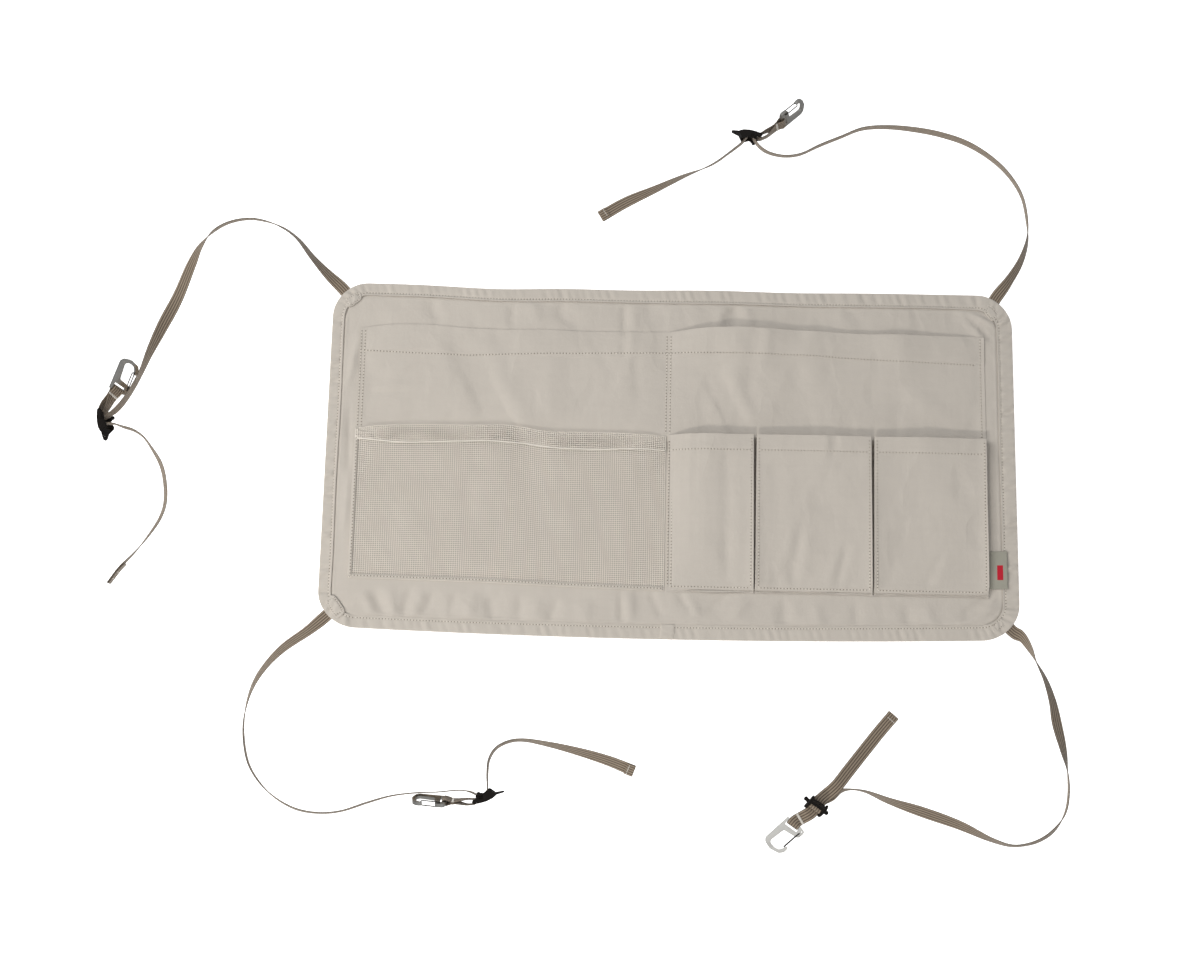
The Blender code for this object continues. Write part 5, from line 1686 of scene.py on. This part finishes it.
@dataclass
class StrapLine:
    """Where one corner's strap and hardware lie, worked out from the chosen route."""

    corner: Corner
    layout: Layout
    webbing: Webbing = field(default_factory=Webbing)
    anchor: float = 16.0 * MM

    def __post_init__(self) -> None:
        """Reads the corner's route."""
        self.data = ROUTES[self.corner.value]
        self.gear = HARDWARE[self.corner.value]

    def exit(self) -> tuple[Vector, Vector]:
        """Where the strap crosses the rim, and its way out."""
        at = self.layout
        side_x = 1 if self.corner.value.endswith("r") else -1
        side_y = 1 if self.corner.value.startswith("t") else -1
        turn = math.radians(self.data["exit"])
        out = Vector((math.cos(turn), math.sin(turn), 0))
        x = side_x * (at.half_length - at.radius) + at.radius * out.x
        y = side_y * (at.half_height - at.radius) + at.radius * out.y
        return at.warped(x, y, 0), out

    def seat(self) -> float:
        """Height of the strap's middle where it lies on the panel."""
        return self.layout.panel_top + self.webbing.clearance + self.webbing.thickness / 2

    def frame_of(self, which: str) -> Matrix:
        """World matrix of the corner's buckle or hook: X along it, Z its face."""
        at, _ = self.exit()
        x, y, z, heading, pitch, roll = self.gear[which]
        move = Matrix.Translation((at.x + x * MM, at.y + y * MM, z * MM))
        return (move @ Matrix.Rotation(math.radians(heading), 4, "Z")
                @ Matrix.Rotation(math.radians(-pitch), 4, "Y")
                @ Matrix.Rotation(math.radians(roll), 4, "X"))

    def placed(self, mesh: bpy.types.Mesh, which: str) -> bpy.types.Mesh:
        """A copy of a mesh, set at the corner's buckle or hook."""
        made = mesh.copy()
        made.transform(self.frame_of(which))
        return made

    def _lying(self, spot: Vector, point: tuple, along: Vector) -> Station:
        """A station at a spot, on the ground unless its point gives a height."""
        web = self.webbing
        lean = math.radians(point[2])
        left = Vector((-along.y, along.x, 0)).normalized()
        across = left * math.cos(lean) + Vector((0, 0, math.sin(lean)))
        rest = web.clearance + abs(math.sin(lean)) * web.width / 2
        rest += abs(math.cos(lean)) * web.thickness / 2
        return Vector((spot.x, spot.y, point[3] * MM if len(point) > 3 else rest)), across

    def _route(self, points: list[tuple], lead: Vector, follow: Vector) -> list[Station]:
        """Stations for one stretch; lead and follow are its neighbours in plan."""
        at, _ = self.exit()
        plan = [Vector((at.x + p[0] * MM, at.y + p[1] * MM, 0)) for p in points]
        around = [lead, *plan, follow]
        ways = (after - before for before, after in zip(around, around[2:]))
        return [self._lying(*place) for place in zip(plan, points, ways)]

    def stations(self, step: float) -> list[Station]:
        """The whole strap: sewn end, run, way through the buckle and loose end.

        Args:
            step: About how far apart the stations are.

        Returns:
            The stations.
        """
        at, out = self.exit()
        seat = Vector((0, 0, self.seat()))
        left = Vector((-out.y, out.x, 0))
        start = [(at + seat - out * self.anchor, left), (at + seat - out * 3 * MM, left),
                 (at + seat + out * 7 * MM, left)]
        frame_here = self.frame_of("buckle")
        inside = []
        for x, z in BUCKLE_PATHS[self.corner.value]:
            spot = frame_here @ Vector((x * MM, 0, z * MM))
            inside.append((spot, turned(frame_here, Vector((0, 1, 0)))))
        flat = [Vector((p.x, p.y, 0)) for p, _ in inside]
        main = self._route(self.data["main"], at + out * 7 * MM, flat[0])
        tail = self._route(self.data["tail"], flat[-1], flat[-1])
        before, end = (Vector((p.x, p.y, 0)) for p, _ in tail[-2:])
        tail[-1] = self._lying(end, self.data["tail"][-1], end - before)
        whole = start + main + inside + tail
        same = whole[:1]
        for point, across in whole[1:]:
            same.append((point, across if across.dot(same[-1][1]) >= 0 else -across))
        return smooth_through(same, step)

    def ring(self) -> tuple[list[Station], list[Station]]:
        """The loop's ring round both bars, and the two ends of its bar tack."""
        gear = self.gear
        web = self.webbing
        hook, buckle = self.frame_of("hook"), self.frame_of("buckle")
        tack_at = 9.5 * MM
        start = hook.translation
        end = buckle @ Vector((Buckle.bar_a, 0, 0))
        across_end = turned(buckle, Vector((0, 1, 0)))
        across_start = turned(hook, Vector((0, 1, 0)))
        if across_start.dot(across_end) < 0:
            across_start = -across_start
        span = (end - start).length
        pull = span * 0.8
        straight = (end - start) / span

        away = square_to(straight - turned(hook, Vector((gear["lean"], 0, 0))), across_start)
        towards = square_to(straight + turned(buckle, Vector((gear["lean"], 0, 0))), across_end)
        ply = web.thickness / 2 + web.clearance / 2
        round_hook = math.hypot(Carabiner.bar / 2, Carabiner.plate / 2)
        round_hook += web.clearance + web.thickness / 2
        round_bar = Buckle.bar_radius + 2 * web.clearance + web.thickness / 2

        def mixed(from_start: float, leaving: float, to_end: float, coming: float) -> Vector:
            return (start * from_start + away * (pull * leaving) + end * to_end
                    + towards * (pull * coming))

        def spot(s: float, w: float) -> Station:
            t = min(1.0, max(0.0, s / span))
            middle = mixed(2 * t**3 - 3 * t**2 + 1, t**3 - 2 * t**2 + t,
                           -2 * t**3 + 3 * t**2, t**3 - t**2)
            along = mixed(6 * t**2 - 6 * t, 3 * t**2 - 4 * t + 1,
                          -6 * t**2 + 6 * t, 3 * t**2 - 2 * t).normalized()
            middle = middle + along * (s - t * span)
            share = float(smoothstep(0.15, 0.9, t))
            across = (across_start * (1 - share) + across_end * share).normalized()
            across = square_to(across, along)
            return middle + along.cross(across) * w, across

        upper = [(tack_at, ply), (tack_at - 4.0 * MM, ply + 1.4 * MM)]
        for a in (65, 90, 120, 150):
            turn = math.radians(a)
            upper.append((round_hook * math.cos(turn), round_hook * math.sin(turn)))
        lower = [(s, -w) for s, w in reversed(upper)]
        far = [(tack_at + 4.5 * MM, -ply - 0.5 * MM), (span - 9 * MM, -round_bar - 0.4 * MM),
               (span - 4 * MM, -round_bar - 0.2 * MM)]
        bar = [(span + round_bar * math.cos(math.radians(a)),
                round_bar * math.sin(math.radians(a))) for a in (-90, -54, -18, 18, 54, 90)]
        back = [(s, -w) for s, w in reversed(far)]
        profile = upper + [(-round_hook, 0.0)] + lower + far + bar + back
        around = [spot(s, w) for s, w in profile]
        tack = [spot(tack_at - 1.8 * MM, 0), spot(tack_at + 1.8 * MM, 0)]
        return around, tack


@dataclass
class Strap:
    """One length of webbing, from under the binding to its folded, sewn end."""

    line: StrapLine
    bench: Bench
    length: float
    hem: float
    rows: tuple[float, ...]
    margin: float = 1.2 * MM
    step: float = 3.2 * MM

    def build(self) -> None:
        """Makes the webbing with its hem, and the hem's stitches."""
        name = self.line.corner.value
        web = self.line.webbing
        run = self.line.stations(self.step)
        bm = web.shape(run + self._hem(run))
        node = f"strap_{name}"
        piece = self.bench.piece(f"{node}_webbing", bm, WEBBING, [node], 60)
        at, _ = self.line.exit()
        seat = self.line.seat()
        self._stitches(run)

    def _hem(self, run: list[Station]) -> list[Station]:
        """The end turned back over itself.

        Args:
            run: The strap's stations up to its end.

        Returns:
            The stations of the turn and of the flap that it leaves.
        """
        web = self.line.webbing
        end, across = run[-1]
        along = (end - run[-2][0]).normalized()
        radius = web.thickness / 2 + 0.15 * MM
        made = []
        face = along.cross(across).normalized()
        for n in range(1, 8):
            turn = math.pi * n / 8
            off = face * (radius * (1 - math.cos(turn)))
            made.append((end + along * (radius * math.sin(turn)) + off, across))
        for point, across, _, face, start, end in self._walk_back(run):
            lift = 2 * radius + 0.4 * MM * float(smoothstep(self.hem * 0.55, self.hem, start))
            made.append((point + face * lift, across))
            if end > self.hem:
                break
        return made

    @staticmethod
    def _walk_back(run: list[Station]) -> Iterable[tuple]:
        """Walks the strap from its end back.

        Args:
            run: Its stations.

        Yields:
            A place, the ways across, along and off the webbing there, and how far from
            the end that stretch starts and ends.
        """
        start = 0.0
        for (point, across), (before, _) in zip(run[:0:-1], run[-2::-1]):
            way = (point - before).normalized()
            end = start + (point - before).length
            yield point, across, way, way.cross(across).normalized(), start, end
            start = end

    def _stitches(self, run: list[Station]) -> None:
        """The white rows across the hem, on both of its faces."""
        web = self.line.webbing
        seam = Seam(pitch=2.1 * MM, radius=0.6 * MM, share=0.9)
        for distance in self.rows:
            point, across, way, face = next(
                step[:4] for step in self._walk_back(run) if step[5] >= distance)
            side = square_to(across, way)
            for off in (web.thickness * 1.5 + 0.5 * MM, -web.thickness / 2 - 0.1 * MM):
                reach = web.width / 2 - self.margin
                seam.row([point + side * (v * reach) + face * off for v in (-1, 1)], holes=False)
        seam.finish(self.bench, f"strap_{self.line.corner.value}", TACK)


@dataclass
class HookLoop:
    """The short ring of webbing between a buckle and its carabiner."""

    line: StrapLine
    bench: Bench

    def build(self) -> None:
        """Makes the ring and its bar tack."""
        name = self.line.corner.value
        around, tack = self.line.ring()
        closed = smooth_through(around + around[:2], 1.0 * MM)
        start = around[1][0]
        turns = [n for n, (p, _) in enumerate(closed) if (p - start).length < 0.05 * MM]
        ring = closed[turns[0]:turns[-1]]
        bm = self.line.webbing.shape(ring, closed=True)
        body, node = f"loop_{name}", f"hook_loop_{name}"
        self.bench.piece(f"{node}_webbing", bm, WEBBING, [node], 60, body)
        self._tack(tack, body, name)

    def _tack(self, tack: list[Station], body: str, name: str) -> None:
        """The bar tack: close, bright stitches through both plies."""
        web = self.line.webbing
        seam = Seam(radius=0.42 * MM)
        along = (tack[1][0] - tack[0][0]).normalized()
        across = tack[0][1]
        face = along.cross(across).normalized()
        half = web.width / 2 - 0.8 * MM
        off = web.thickness + web.clearance / 2 + 0.1 * MM
        for side in (-1, 1):
            for v in spread(-half, half, 0.7 * MM):
                start = tack[0][0] + across * v + face * (off * side)
                end = tack[1][0] + across * (v + 0.35 * MM) + face * (off * side)
                seam.stitch(start, end)
        seam.finish(self.bench, f"bar_tack_{name}", TACK, body)


@dataclass
class Buckle:
    """A moulded ladder lock: deep rails, three bars, a lift tab and two ears."""

    line: StrapLine
    bench: Bench
    rail: float = 3.0 * MM
    side_room: float = 0.7 * MM
    bar_a: float = -13.2 * MM
    bar_radius: float = 1.6 * MM
    bar_b: float = -1.0 * MM
    bar_c: float = 9.8 * MM
    tab: float = 12.0 * MM
    tab_depth: float = 1.8 * MM
    cord_hole: float = 1.6 * MM
    voxel: float = 0.32 * MM

    def build(self, mesh: bpy.types.Mesh) -> None:
        """Places a copy of the moulding at its corner.

        Args:
            mesh: The moulding in its own frame.
        """
        node = f"buckle_{self.line.corner.value}"
        placed = self.line.placed(mesh, "buckle")
        self.bench.dress(f"{node}_moulding", placed, MOULDED, [node], 60)

    def moulding(self) -> bpy.types.Mesh:
        """The moulding in its own frame, its parts fused and softened.

        Returns:
            The mesh.
        """
        inner = self.line.webbing.width / 2 + self.side_room
        outer = inner + self.rail
        bm = bmesh.new()
        rail = [(-15.6, -1.0), (-14.2, -2.2), (-9.0, -3.0), (-3.5, -3.9), (1.5, -5.4),
                (5.5, -7.4), (8.2, -7.8), (10.0, -6.2), (13.8, -0.6), (13.8, 1.4), (8.5, 3.4),
                (1.0, 4.2), (-7.0, 3.6), (-13.6, 2.3), (-15.6, 1.1)]
        for low, high in ((-outer, -inner), (inner, outer)):
            self._prism(bm, rail, low, high, 0.8 * MM)
        length = 2 * inner + 2 * MM
        for x, radius in ((self.bar_a, self.bar_radius), (self.bar_b, 1.9 * MM)):
            turn = Matrix.Translation((x, 0, 0)) @ Matrix.Rotation(math.pi / 2, 4, "X")
            bmesh.ops.create_cone(bm, cap_ends=True, segments=24, radius1=radius,
                                  radius2=radius, depth=length, matrix=turn)
        c = self.bar_c / MM
        front = [(c + x, z) for x, z in ((-1.8, -3.4), (0.4, -4.4), (2.8, -1.6), (3.4, 1.0),
                                         (-1.2, 2.6), (-2.7, 0.6))]
        self._prism(bm, front, -length / 2, length / 2, 0.0)
        self._tab(bm, outer)
        for side in (-1, 1):
            self._ear(bm, side, outer)
        return self.bench.settled(
            bm, ("REMESH", {"mode": "VOXEL", "voxel_size": self.voxel}),
            ("SMOOTH", {"factor": 0.5, "iterations": 5}))

    @staticmethod
    def _prism(bm: bmesh.types.BMesh, outline: list[tuple[float, float]], low: float,
               high: float, soft: float) -> None:
        """Adds an outline in X and Z, drawn out along Y, its long edges softened.

        Args:
            bm: Where it goes.
            outline: Its corners in millimetres.
            low: Where it starts along Y.
            high: Where it ends.
            soft: The softening's width.
        """
        face = bm.faces.new([bm.verts.new((x * MM, low, z * MM)) for x, z in outline])
        made = draw_out(bm, [face], (0, high - low, 0))
        if soft:
            caps = [f for f in made if isinstance(f, bmesh.types.BMFace)]
            rims = [e for f in (face, *caps) for e in f.edges]
            bmesh.ops.bevel(bm, geom=rims, offset=soft, segments=3, profile=0.5,
                            affect="EDGES", material=-1)

    def _tab(self, bm: bmesh.types.BMesh, outer: float) -> None:
        """Adds the lift tab, tapered, with a cord hole through it."""
        root = self.bar_c + 1.8 * MM
        tip = root + self.tab
        half = [(root, outer - 0.6 * MM), (root + self.tab * 0.42, outer * 0.72),
                (tip - 1.8 * MM, outer * 0.42), (tip, outer * 0.2)]
        plan = half + [(x, -y) for x, y in reversed(half)]
        centre = Vector((root + self.tab * 0.62, 0))
        hole = [(centre.x + x, y) for x, y in circle(20, self.cord_hole)]
        tab = cut_plate([plan, hole], -self.tab_depth / 2, self.tab_depth)
        lift = (Matrix.Translation((root, 0, -0.2 * MM))
                @ Matrix.Rotation(math.radians(-7), 4, "Y") @ Matrix.Translation((-root, 0, 0)))
        bmesh.ops.transform(tab, matrix=lift, verts=tab.verts)
        add_shape(bm, tab)

    def _ear(self, bm: bmesh.types.BMesh, side: int, outer: float) -> None:
        """Adds an ear: a slanted stalk that flares to a blunt end."""
        foot = Vector((-3.4 * MM, side * (outer - self.rail / 2), -3.0 * MM))
        tip = Vector((-7.4 * MM, side * (outer + 4.2 * MM), -5.6 * MM))
        way = (tip - foot).normalized()
        turn = way.to_track_quat("Z", "Y").to_matrix().to_4x4()
        length = (tip - foot).length
        for low, high, r1, r2 in ((-0.5 * MM, length - 2.4 * MM, 3.0, 2.1),
                                  (length - 3.9 * MM, length - 0.9 * MM, 2.1, 2.7),
                                  (length - 1.0 * MM, length, 2.7, 2.4)):
            at = Matrix.Translation(foot + way * (low + high) / 2) @ turn
            bmesh.ops.create_cone(bm, cap_ends=True, segments=20, radius1=r1 * MM,
                                  radius2=r2 * MM, depth=high - low, matrix=at)


@dataclass
class Carabiner:
    """A flat plate hook: slotted bar for the webbing, slanted spine, open eye and nose."""

    line: StrapLine
    bench: Bench
    plate: float = 4.0 * MM
    edge: float = 0.75 * MM
    bar: float = 3.6 * MM
    slot_end: float = 6.4 * MM
    side_room: float = 0.8 * MM
    pivot: tuple[float, float] = (5.9 * MM, 11.4 * MM)
    far_hole: tuple[float, float] = (2.4 * MM, 13.2 * MM)
    wire: float = 1.3 * MM

    def build(self, mesh: bpy.types.Mesh) -> None:
        """Places a copy of the plate at its corner.

        Args:
            mesh: The plate in its own frame.
        """
        name = self.line.corner.value
        node = f"carabiner_{name}"
        placed = self.line.placed(mesh, "hook")
        self.bench.dress(f"{node}_plate", placed, SATIN, [node], 35, f"hook_{name}")

    def blank(self) -> bpy.types.Mesh:
        """The plate in its own frame: cut out, holed, its edges rolled over.

        Returns:
            The mesh.
        """
        half_slot = self.line.webbing.width / 2 + self.side_room
        bar = self.bar / 2
        slot = [(bar, -half_slot), (self.slot_end, -half_slot), (self.slot_end, half_slot),
                (bar, half_slot)]
        hole = self.wire / 2 + 0.35 * MM
        loops = [self._outline(half_slot, bar), self._rounded(slot, 0.9 * MM)]
        for centre, radius in ((self.pivot, hole), (self.far_hole, hole * 0.8)):
            loops.append([(centre[0] + x, centre[1] + y) for x, y in circle(16, radius)])
        bm = cut_plate(loops, -self.plate / 2, self.plate)
        rims = [e for e in bm.edges if len(e.link_faces) == 2
                and e.calc_face_angle() > math.radians(60)
                and abs(e.verts[0].co.z - e.verts[1].co.z) < 1e-6]
        bmesh.ops.bevel(bm, geom=rims, offset=self.edge, segments=4, profile=0.5,
                        affect="EDGES", material=-1, clamp_overlap=True)
        return self.bench.settled(bm)

    @staticmethod
    def _rounded(corners: list[tuple[float, float]], radius: float) -> list[tuple[float, float]]:
        """A polygon with each corner replaced by a short round.

        Args:
            corners: Its corners.
            radius: How far from the corner each round starts, at most.

        Returns:
            The outline's points.
        """
        made = []
        count = len(corners)
        for n in range(count):
            here = Vector(corners[n])
            before = Vector(corners[n - 1]) - here
            after = Vector(corners[(n + 1) % count]) - here
            reach = min(radius, before.length * 0.45, after.length * 0.45)
            a, b = here + before.normalized() * reach, here + after.normalized() * reach
            for t in (0.0, 0.25, 0.5, 0.75, 1.0):
                spot = a * (1 - t) ** 2 + here * (2 * t * (1 - t)) + b * t**2
                made.append((spot.x, spot.y))
        return made

    def _outline(self, half_slot: float, bar: float) -> list[tuple[float, float]]:
        """The plate's outline, its corners rounded."""
        points = [(-1.2, 9.9), (0.4, 15.2), (3.0, 16.0), (9.2, 14.4), (11.3, 12.4), (11.6, 7.6),
                  (12.8, -5.3), (30.2, -10.9), (33.0, -10.6), (34.6, -8.2), (35.8, -2.6),
                  (34.6, 3.0), (30.6, 6.2), (26.6, 7.9), (26.9, 9.9), (30.2, 10.4),
                  (34.2, 9.2), (38.3, 5.2), (40.0, -6.6), (36.4, -15.4), (32.0, -17.9),
                  (1.8, -11.0), (-2.4, -10.2), (-3.4, -9.0)]
        corners = [(x * MM, y * MM) for x, y in points]
        return self._rounded([(-bar, half_slot), *corners, (-bar, -half_slot)], 1.6 * MM)


@dataclass
class WireGate:
    """The bent spring wire that closes the carabiner's eye."""

    line: StrapLine
    bench: Bench
    hook: Carabiner
    reach: tuple[float, float] = (28.7 * MM, 5.8 * MM)

    def path(self) -> list[Vector]:
        """The wire's middle, from one end in the plate round the nose to the other."""
        hook = self.hook
        rise = hook.plate / 2 + 0.3 * MM + hook.wire / 2
        hinge = Vector((*hook.pivot, 0))
        far = Vector((*self.reach, 0)) - hinge
        way = far.normalized()
        leg = [hinge + Vector((0, 0, hook.plate * 0.22)),
               hinge + Vector((0, 0, rise - 0.9 * MM)),
               hinge + way * 0.35 * MM + Vector((0, 0, rise - 0.3 * MM)),
               hinge + way * 1.0 * MM + Vector((0, 0, rise))]
        start = far.length - rise
        leg += [hinge + way * start * t + Vector((0, 0, rise)) for t in (0.35, 0.65, 0.9)]
        leg += [hinge + way * (start + rise * math.cos(a)) + Vector((0, 0, rise * math.sin(a)))
                for a in (math.radians(d) for d in (90, 75, 60, 45, 30, 15))]
        return leg + [Vector((p.x, p.y, -p.z)) for p in reversed(leg)]

    def build(self) -> None:
        """Makes the wire at its corner."""
        name = self.line.corner.value
        place = self.line.frame_of("hook")
        points = [place @ p for p in self.path()]
        sections, along = [], [0.0]
        up = turned(place, Vector((self.reach[1] - self.hook.pivot[1],
                                   self.hook.pivot[0] - self.reach[0], 0))).normalized()
        for n, point in enumerate(points):
            before, after = points[max(0, n - 1)], points[min(len(points) - 1, n + 1)]
            way = (after - before).normalized()
            side = way.cross(up).normalized()
            other = way.cross(side)
            sections.append([point + side * u + other * v
                             for u, v in circle(14, self.hook.wire / 2)])
            if n:
                along.append(along[-1] + (point - points[n - 1]).length)
        bm = sweep(sections, [k / 14 for k in range(14)], along)
        node = f"wire_gate_{name}"
        self.bench.piece(f"{node}_wire", bm, WIRE_STEEL, [node], 60, f"gate_{name}")


@dataclass
class Studio:
    """A pale floor, soft light and the photograph's camera."""

    lens: float = 50.0
    elevation: float = 79.0
    yaw: float = 1.2
    distance: float = 2.05
    aim: tuple[float, float, float] = (-0.086, -0.0253, 0.0)
    horizon: float = 0.24
    rise: float = 0.09
    overhead: float = 0.55
    cap_start: float = 0.81
    floor_drop: float = 60.0 * MM

    def build(self) -> None:
        """Sets the floor, the world, the lights and the camera."""
        self._floor()
        self._world()
        self._soft_box("key", (-0.60, -1.80, 1.90), 0.30, 20.0, (1.0, 0.95, 0.88))
        self._soft_box("side", (-2.4, 0.30, 2.60), 2.0, 72.0, (1.0, 0.99, 0.97))
        self._camera()
        settings = bpy.context.scene.view_settings
        settings.view_transform = "Standard"
        settings.look = "None"
        settings.exposure = 0.0

    def _floor(self) -> None:
        """A wide pale floor, low enough for the hooks to swing clear of it."""
        bm = bmesh.new()
        bmesh.ops.create_grid(bm, x_segments=1, y_segments=1, size=60.0)
        bmesh.ops.translate(bm, vec=(0, 0, -self.floor_drop), verts=bm.verts)
        mesh = mesh_of("floor", bm)
        pale = bpy.data.materials.new("pale_floor")
        pale.use_nodes = True
        shader = pale.node_tree.nodes["Principled BSDF"]
        shader.inputs["Base Color"].default_value = (0.92, 0.92, 0.92, 1)
        shader.inputs["Roughness"].default_value = 0.9
        shader.inputs["Emission Color"].default_value = (1, 1, 1, 1)
        shader.inputs["Emission Strength"].default_value = 0.75
        mesh.materials.append(pale)
        floor = object_of("floor", mesh)
        floor.visible_glossy = False

    def _world(self) -> None:
        """Soft light from all round, dim at the horizon and strongest overhead."""
        world = bpy.data.worlds.new("studio")
        world.use_nodes = True
        back = world.node_tree.nodes["Background"]
        back.inputs["Color"].default_value = (0.96, 0.98, 1.0, 1)
        tree = Tree(world.node_tree)
        way = tree.node("SeparateXYZ")
        tree.put(way.inputs[0], tree.node("TexCoord").outputs["Generated"])
        rise = tree.math("MULTIPLY", way.outputs[2], 1.5, clamp=True)
        cap = tree.math("SUBTRACT", way.outputs[2], self.cap_start)
        cap = tree.math("MULTIPLY", cap, 6.0, clamp=True)
        glow = tree.math("ADD", tree.math("MULTIPLY", rise, self.rise),
                         tree.math("MULTIPLY", cap, self.overhead))
        tree.put(back.inputs["Strength"], tree.math("ADD", glow, self.horizon))
        bpy.context.scene.world = world

    def _soft_box(self, name: str, place: tuple[float, float, float], size: float,
                  power: float, colour: Colour) -> None:
        """Hangs a square lamp that looks at the object."""
        lamp = bpy.data.lights.new(name, "AREA")
        lamp.size = size
        lamp.energy = power
        lamp.color = colour
        held = object_of(name, lamp)
        held.visible_glossy = False
        way = Vector(self.aim) - Vector(place)
        held.matrix_world = (Matrix.Translation(place)
                             @ way.to_track_quat("-Z", "Y").to_matrix().to_4x4())

    def _camera(self) -> None:
        """Stands the camera where the photograph was taken from."""
        yaw, tilt = math.radians(self.yaw), math.radians(self.elevation)
        ahead = Vector((-math.sin(yaw), math.cos(yaw), 0))
        look = ahead * math.cos(tilt) - Vector((0, 0, math.sin(tilt)))
        right = Vector((math.cos(yaw), math.sin(yaw), 0))
        up = right.cross(look)
        data = bpy.data.cameras.new("photograph")
        data.lens = self.lens
        data.sensor_width = 36.0
        data.clip_start = 0.01
        held = object_of("photograph", data)
        held.matrix_world = Matrix((
            (right.x, up.x, -look.x, self.aim[0] - look.x * self.distance),
            (right.y, up.y, -look.y, self.aim[1] - look.y * self.distance),
            (right.z, up.z, -look.z, self.aim[2] - look.z * self.distance),
            (0, 0, 0, 1)))
        bpy.context.scene.camera = held


def main() -> None:
    """Builds every sub-assembly round the frame."""
    logging.basicConfig(level=logging.INFO, format="%(relativeCreated)6d ms  %(message)s")
    Studio().build()
    bench = Bench()
    layout = Layout()
    stack = ClothStack(layout)
    lines = {corner: StrapLine(corner, layout) for corner in Corner}
    first = lines[Corner.TOP_LEFT]
    moulding = Buckle(first, bench).moulding()
    plate = Carabiner(first, bench).blank()
    ends = {Corner.TOP_LEFT: (0.775, 30 * MM, (8 * MM, 19 * MM)),
            Corner.TOP_RIGHT: (0.786, 12 * MM, (8 * MM,)),
            Corner.BOTTOM_LEFT: (0.782, 12 * MM, (8 * MM,)),
            Corner.BOTTOM_RIGHT: (0.740, 12 * MM, (8 * MM,))}
    for corner, line in lines.items():
        Buckle(line, bench).build(moulding)
        hook = Carabiner(line, bench)
        hook.build(plate)
        WireGate(line, bench, hook).build()
        HookLoop(line, bench).build()
        Strap(line, bench, *ends[corner]).build()
    CanvasPanel(bench, stack).build()
    RimBinding(bench, stack).build()
    UpperPocket(bench, stack).build()
    NetPocket(bench, stack).build()
    pockets = (
        BellowsPocket("small_pocket_cloth", "bellows_pocket_small", SMALL_FOLDS, False,
                      ((0, 0), (20, 0.5), (50, 0.8), (100, 0)), 21),
        BellowsPocket("middle_pocket_cloth", "bellows_pocket_middle", MIDDLE_FOLDS, True,
                      ((105, 0), (140, 1.6), (190, 1.8), (245, 0)), 22),
        BellowsPocket("end_pocket_cloth", "bellows_pocket_end", END_FOLDS, True,
                      ((250, 0), (290, 1.6), (312, 2.6), (340, 1.6), (388, 0)), 23),
    )
    for pocket in pockets:
        pocket.build(bench, stack)
    SideTab(bench).build()
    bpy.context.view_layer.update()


if __name__ == "__main__":
    main()
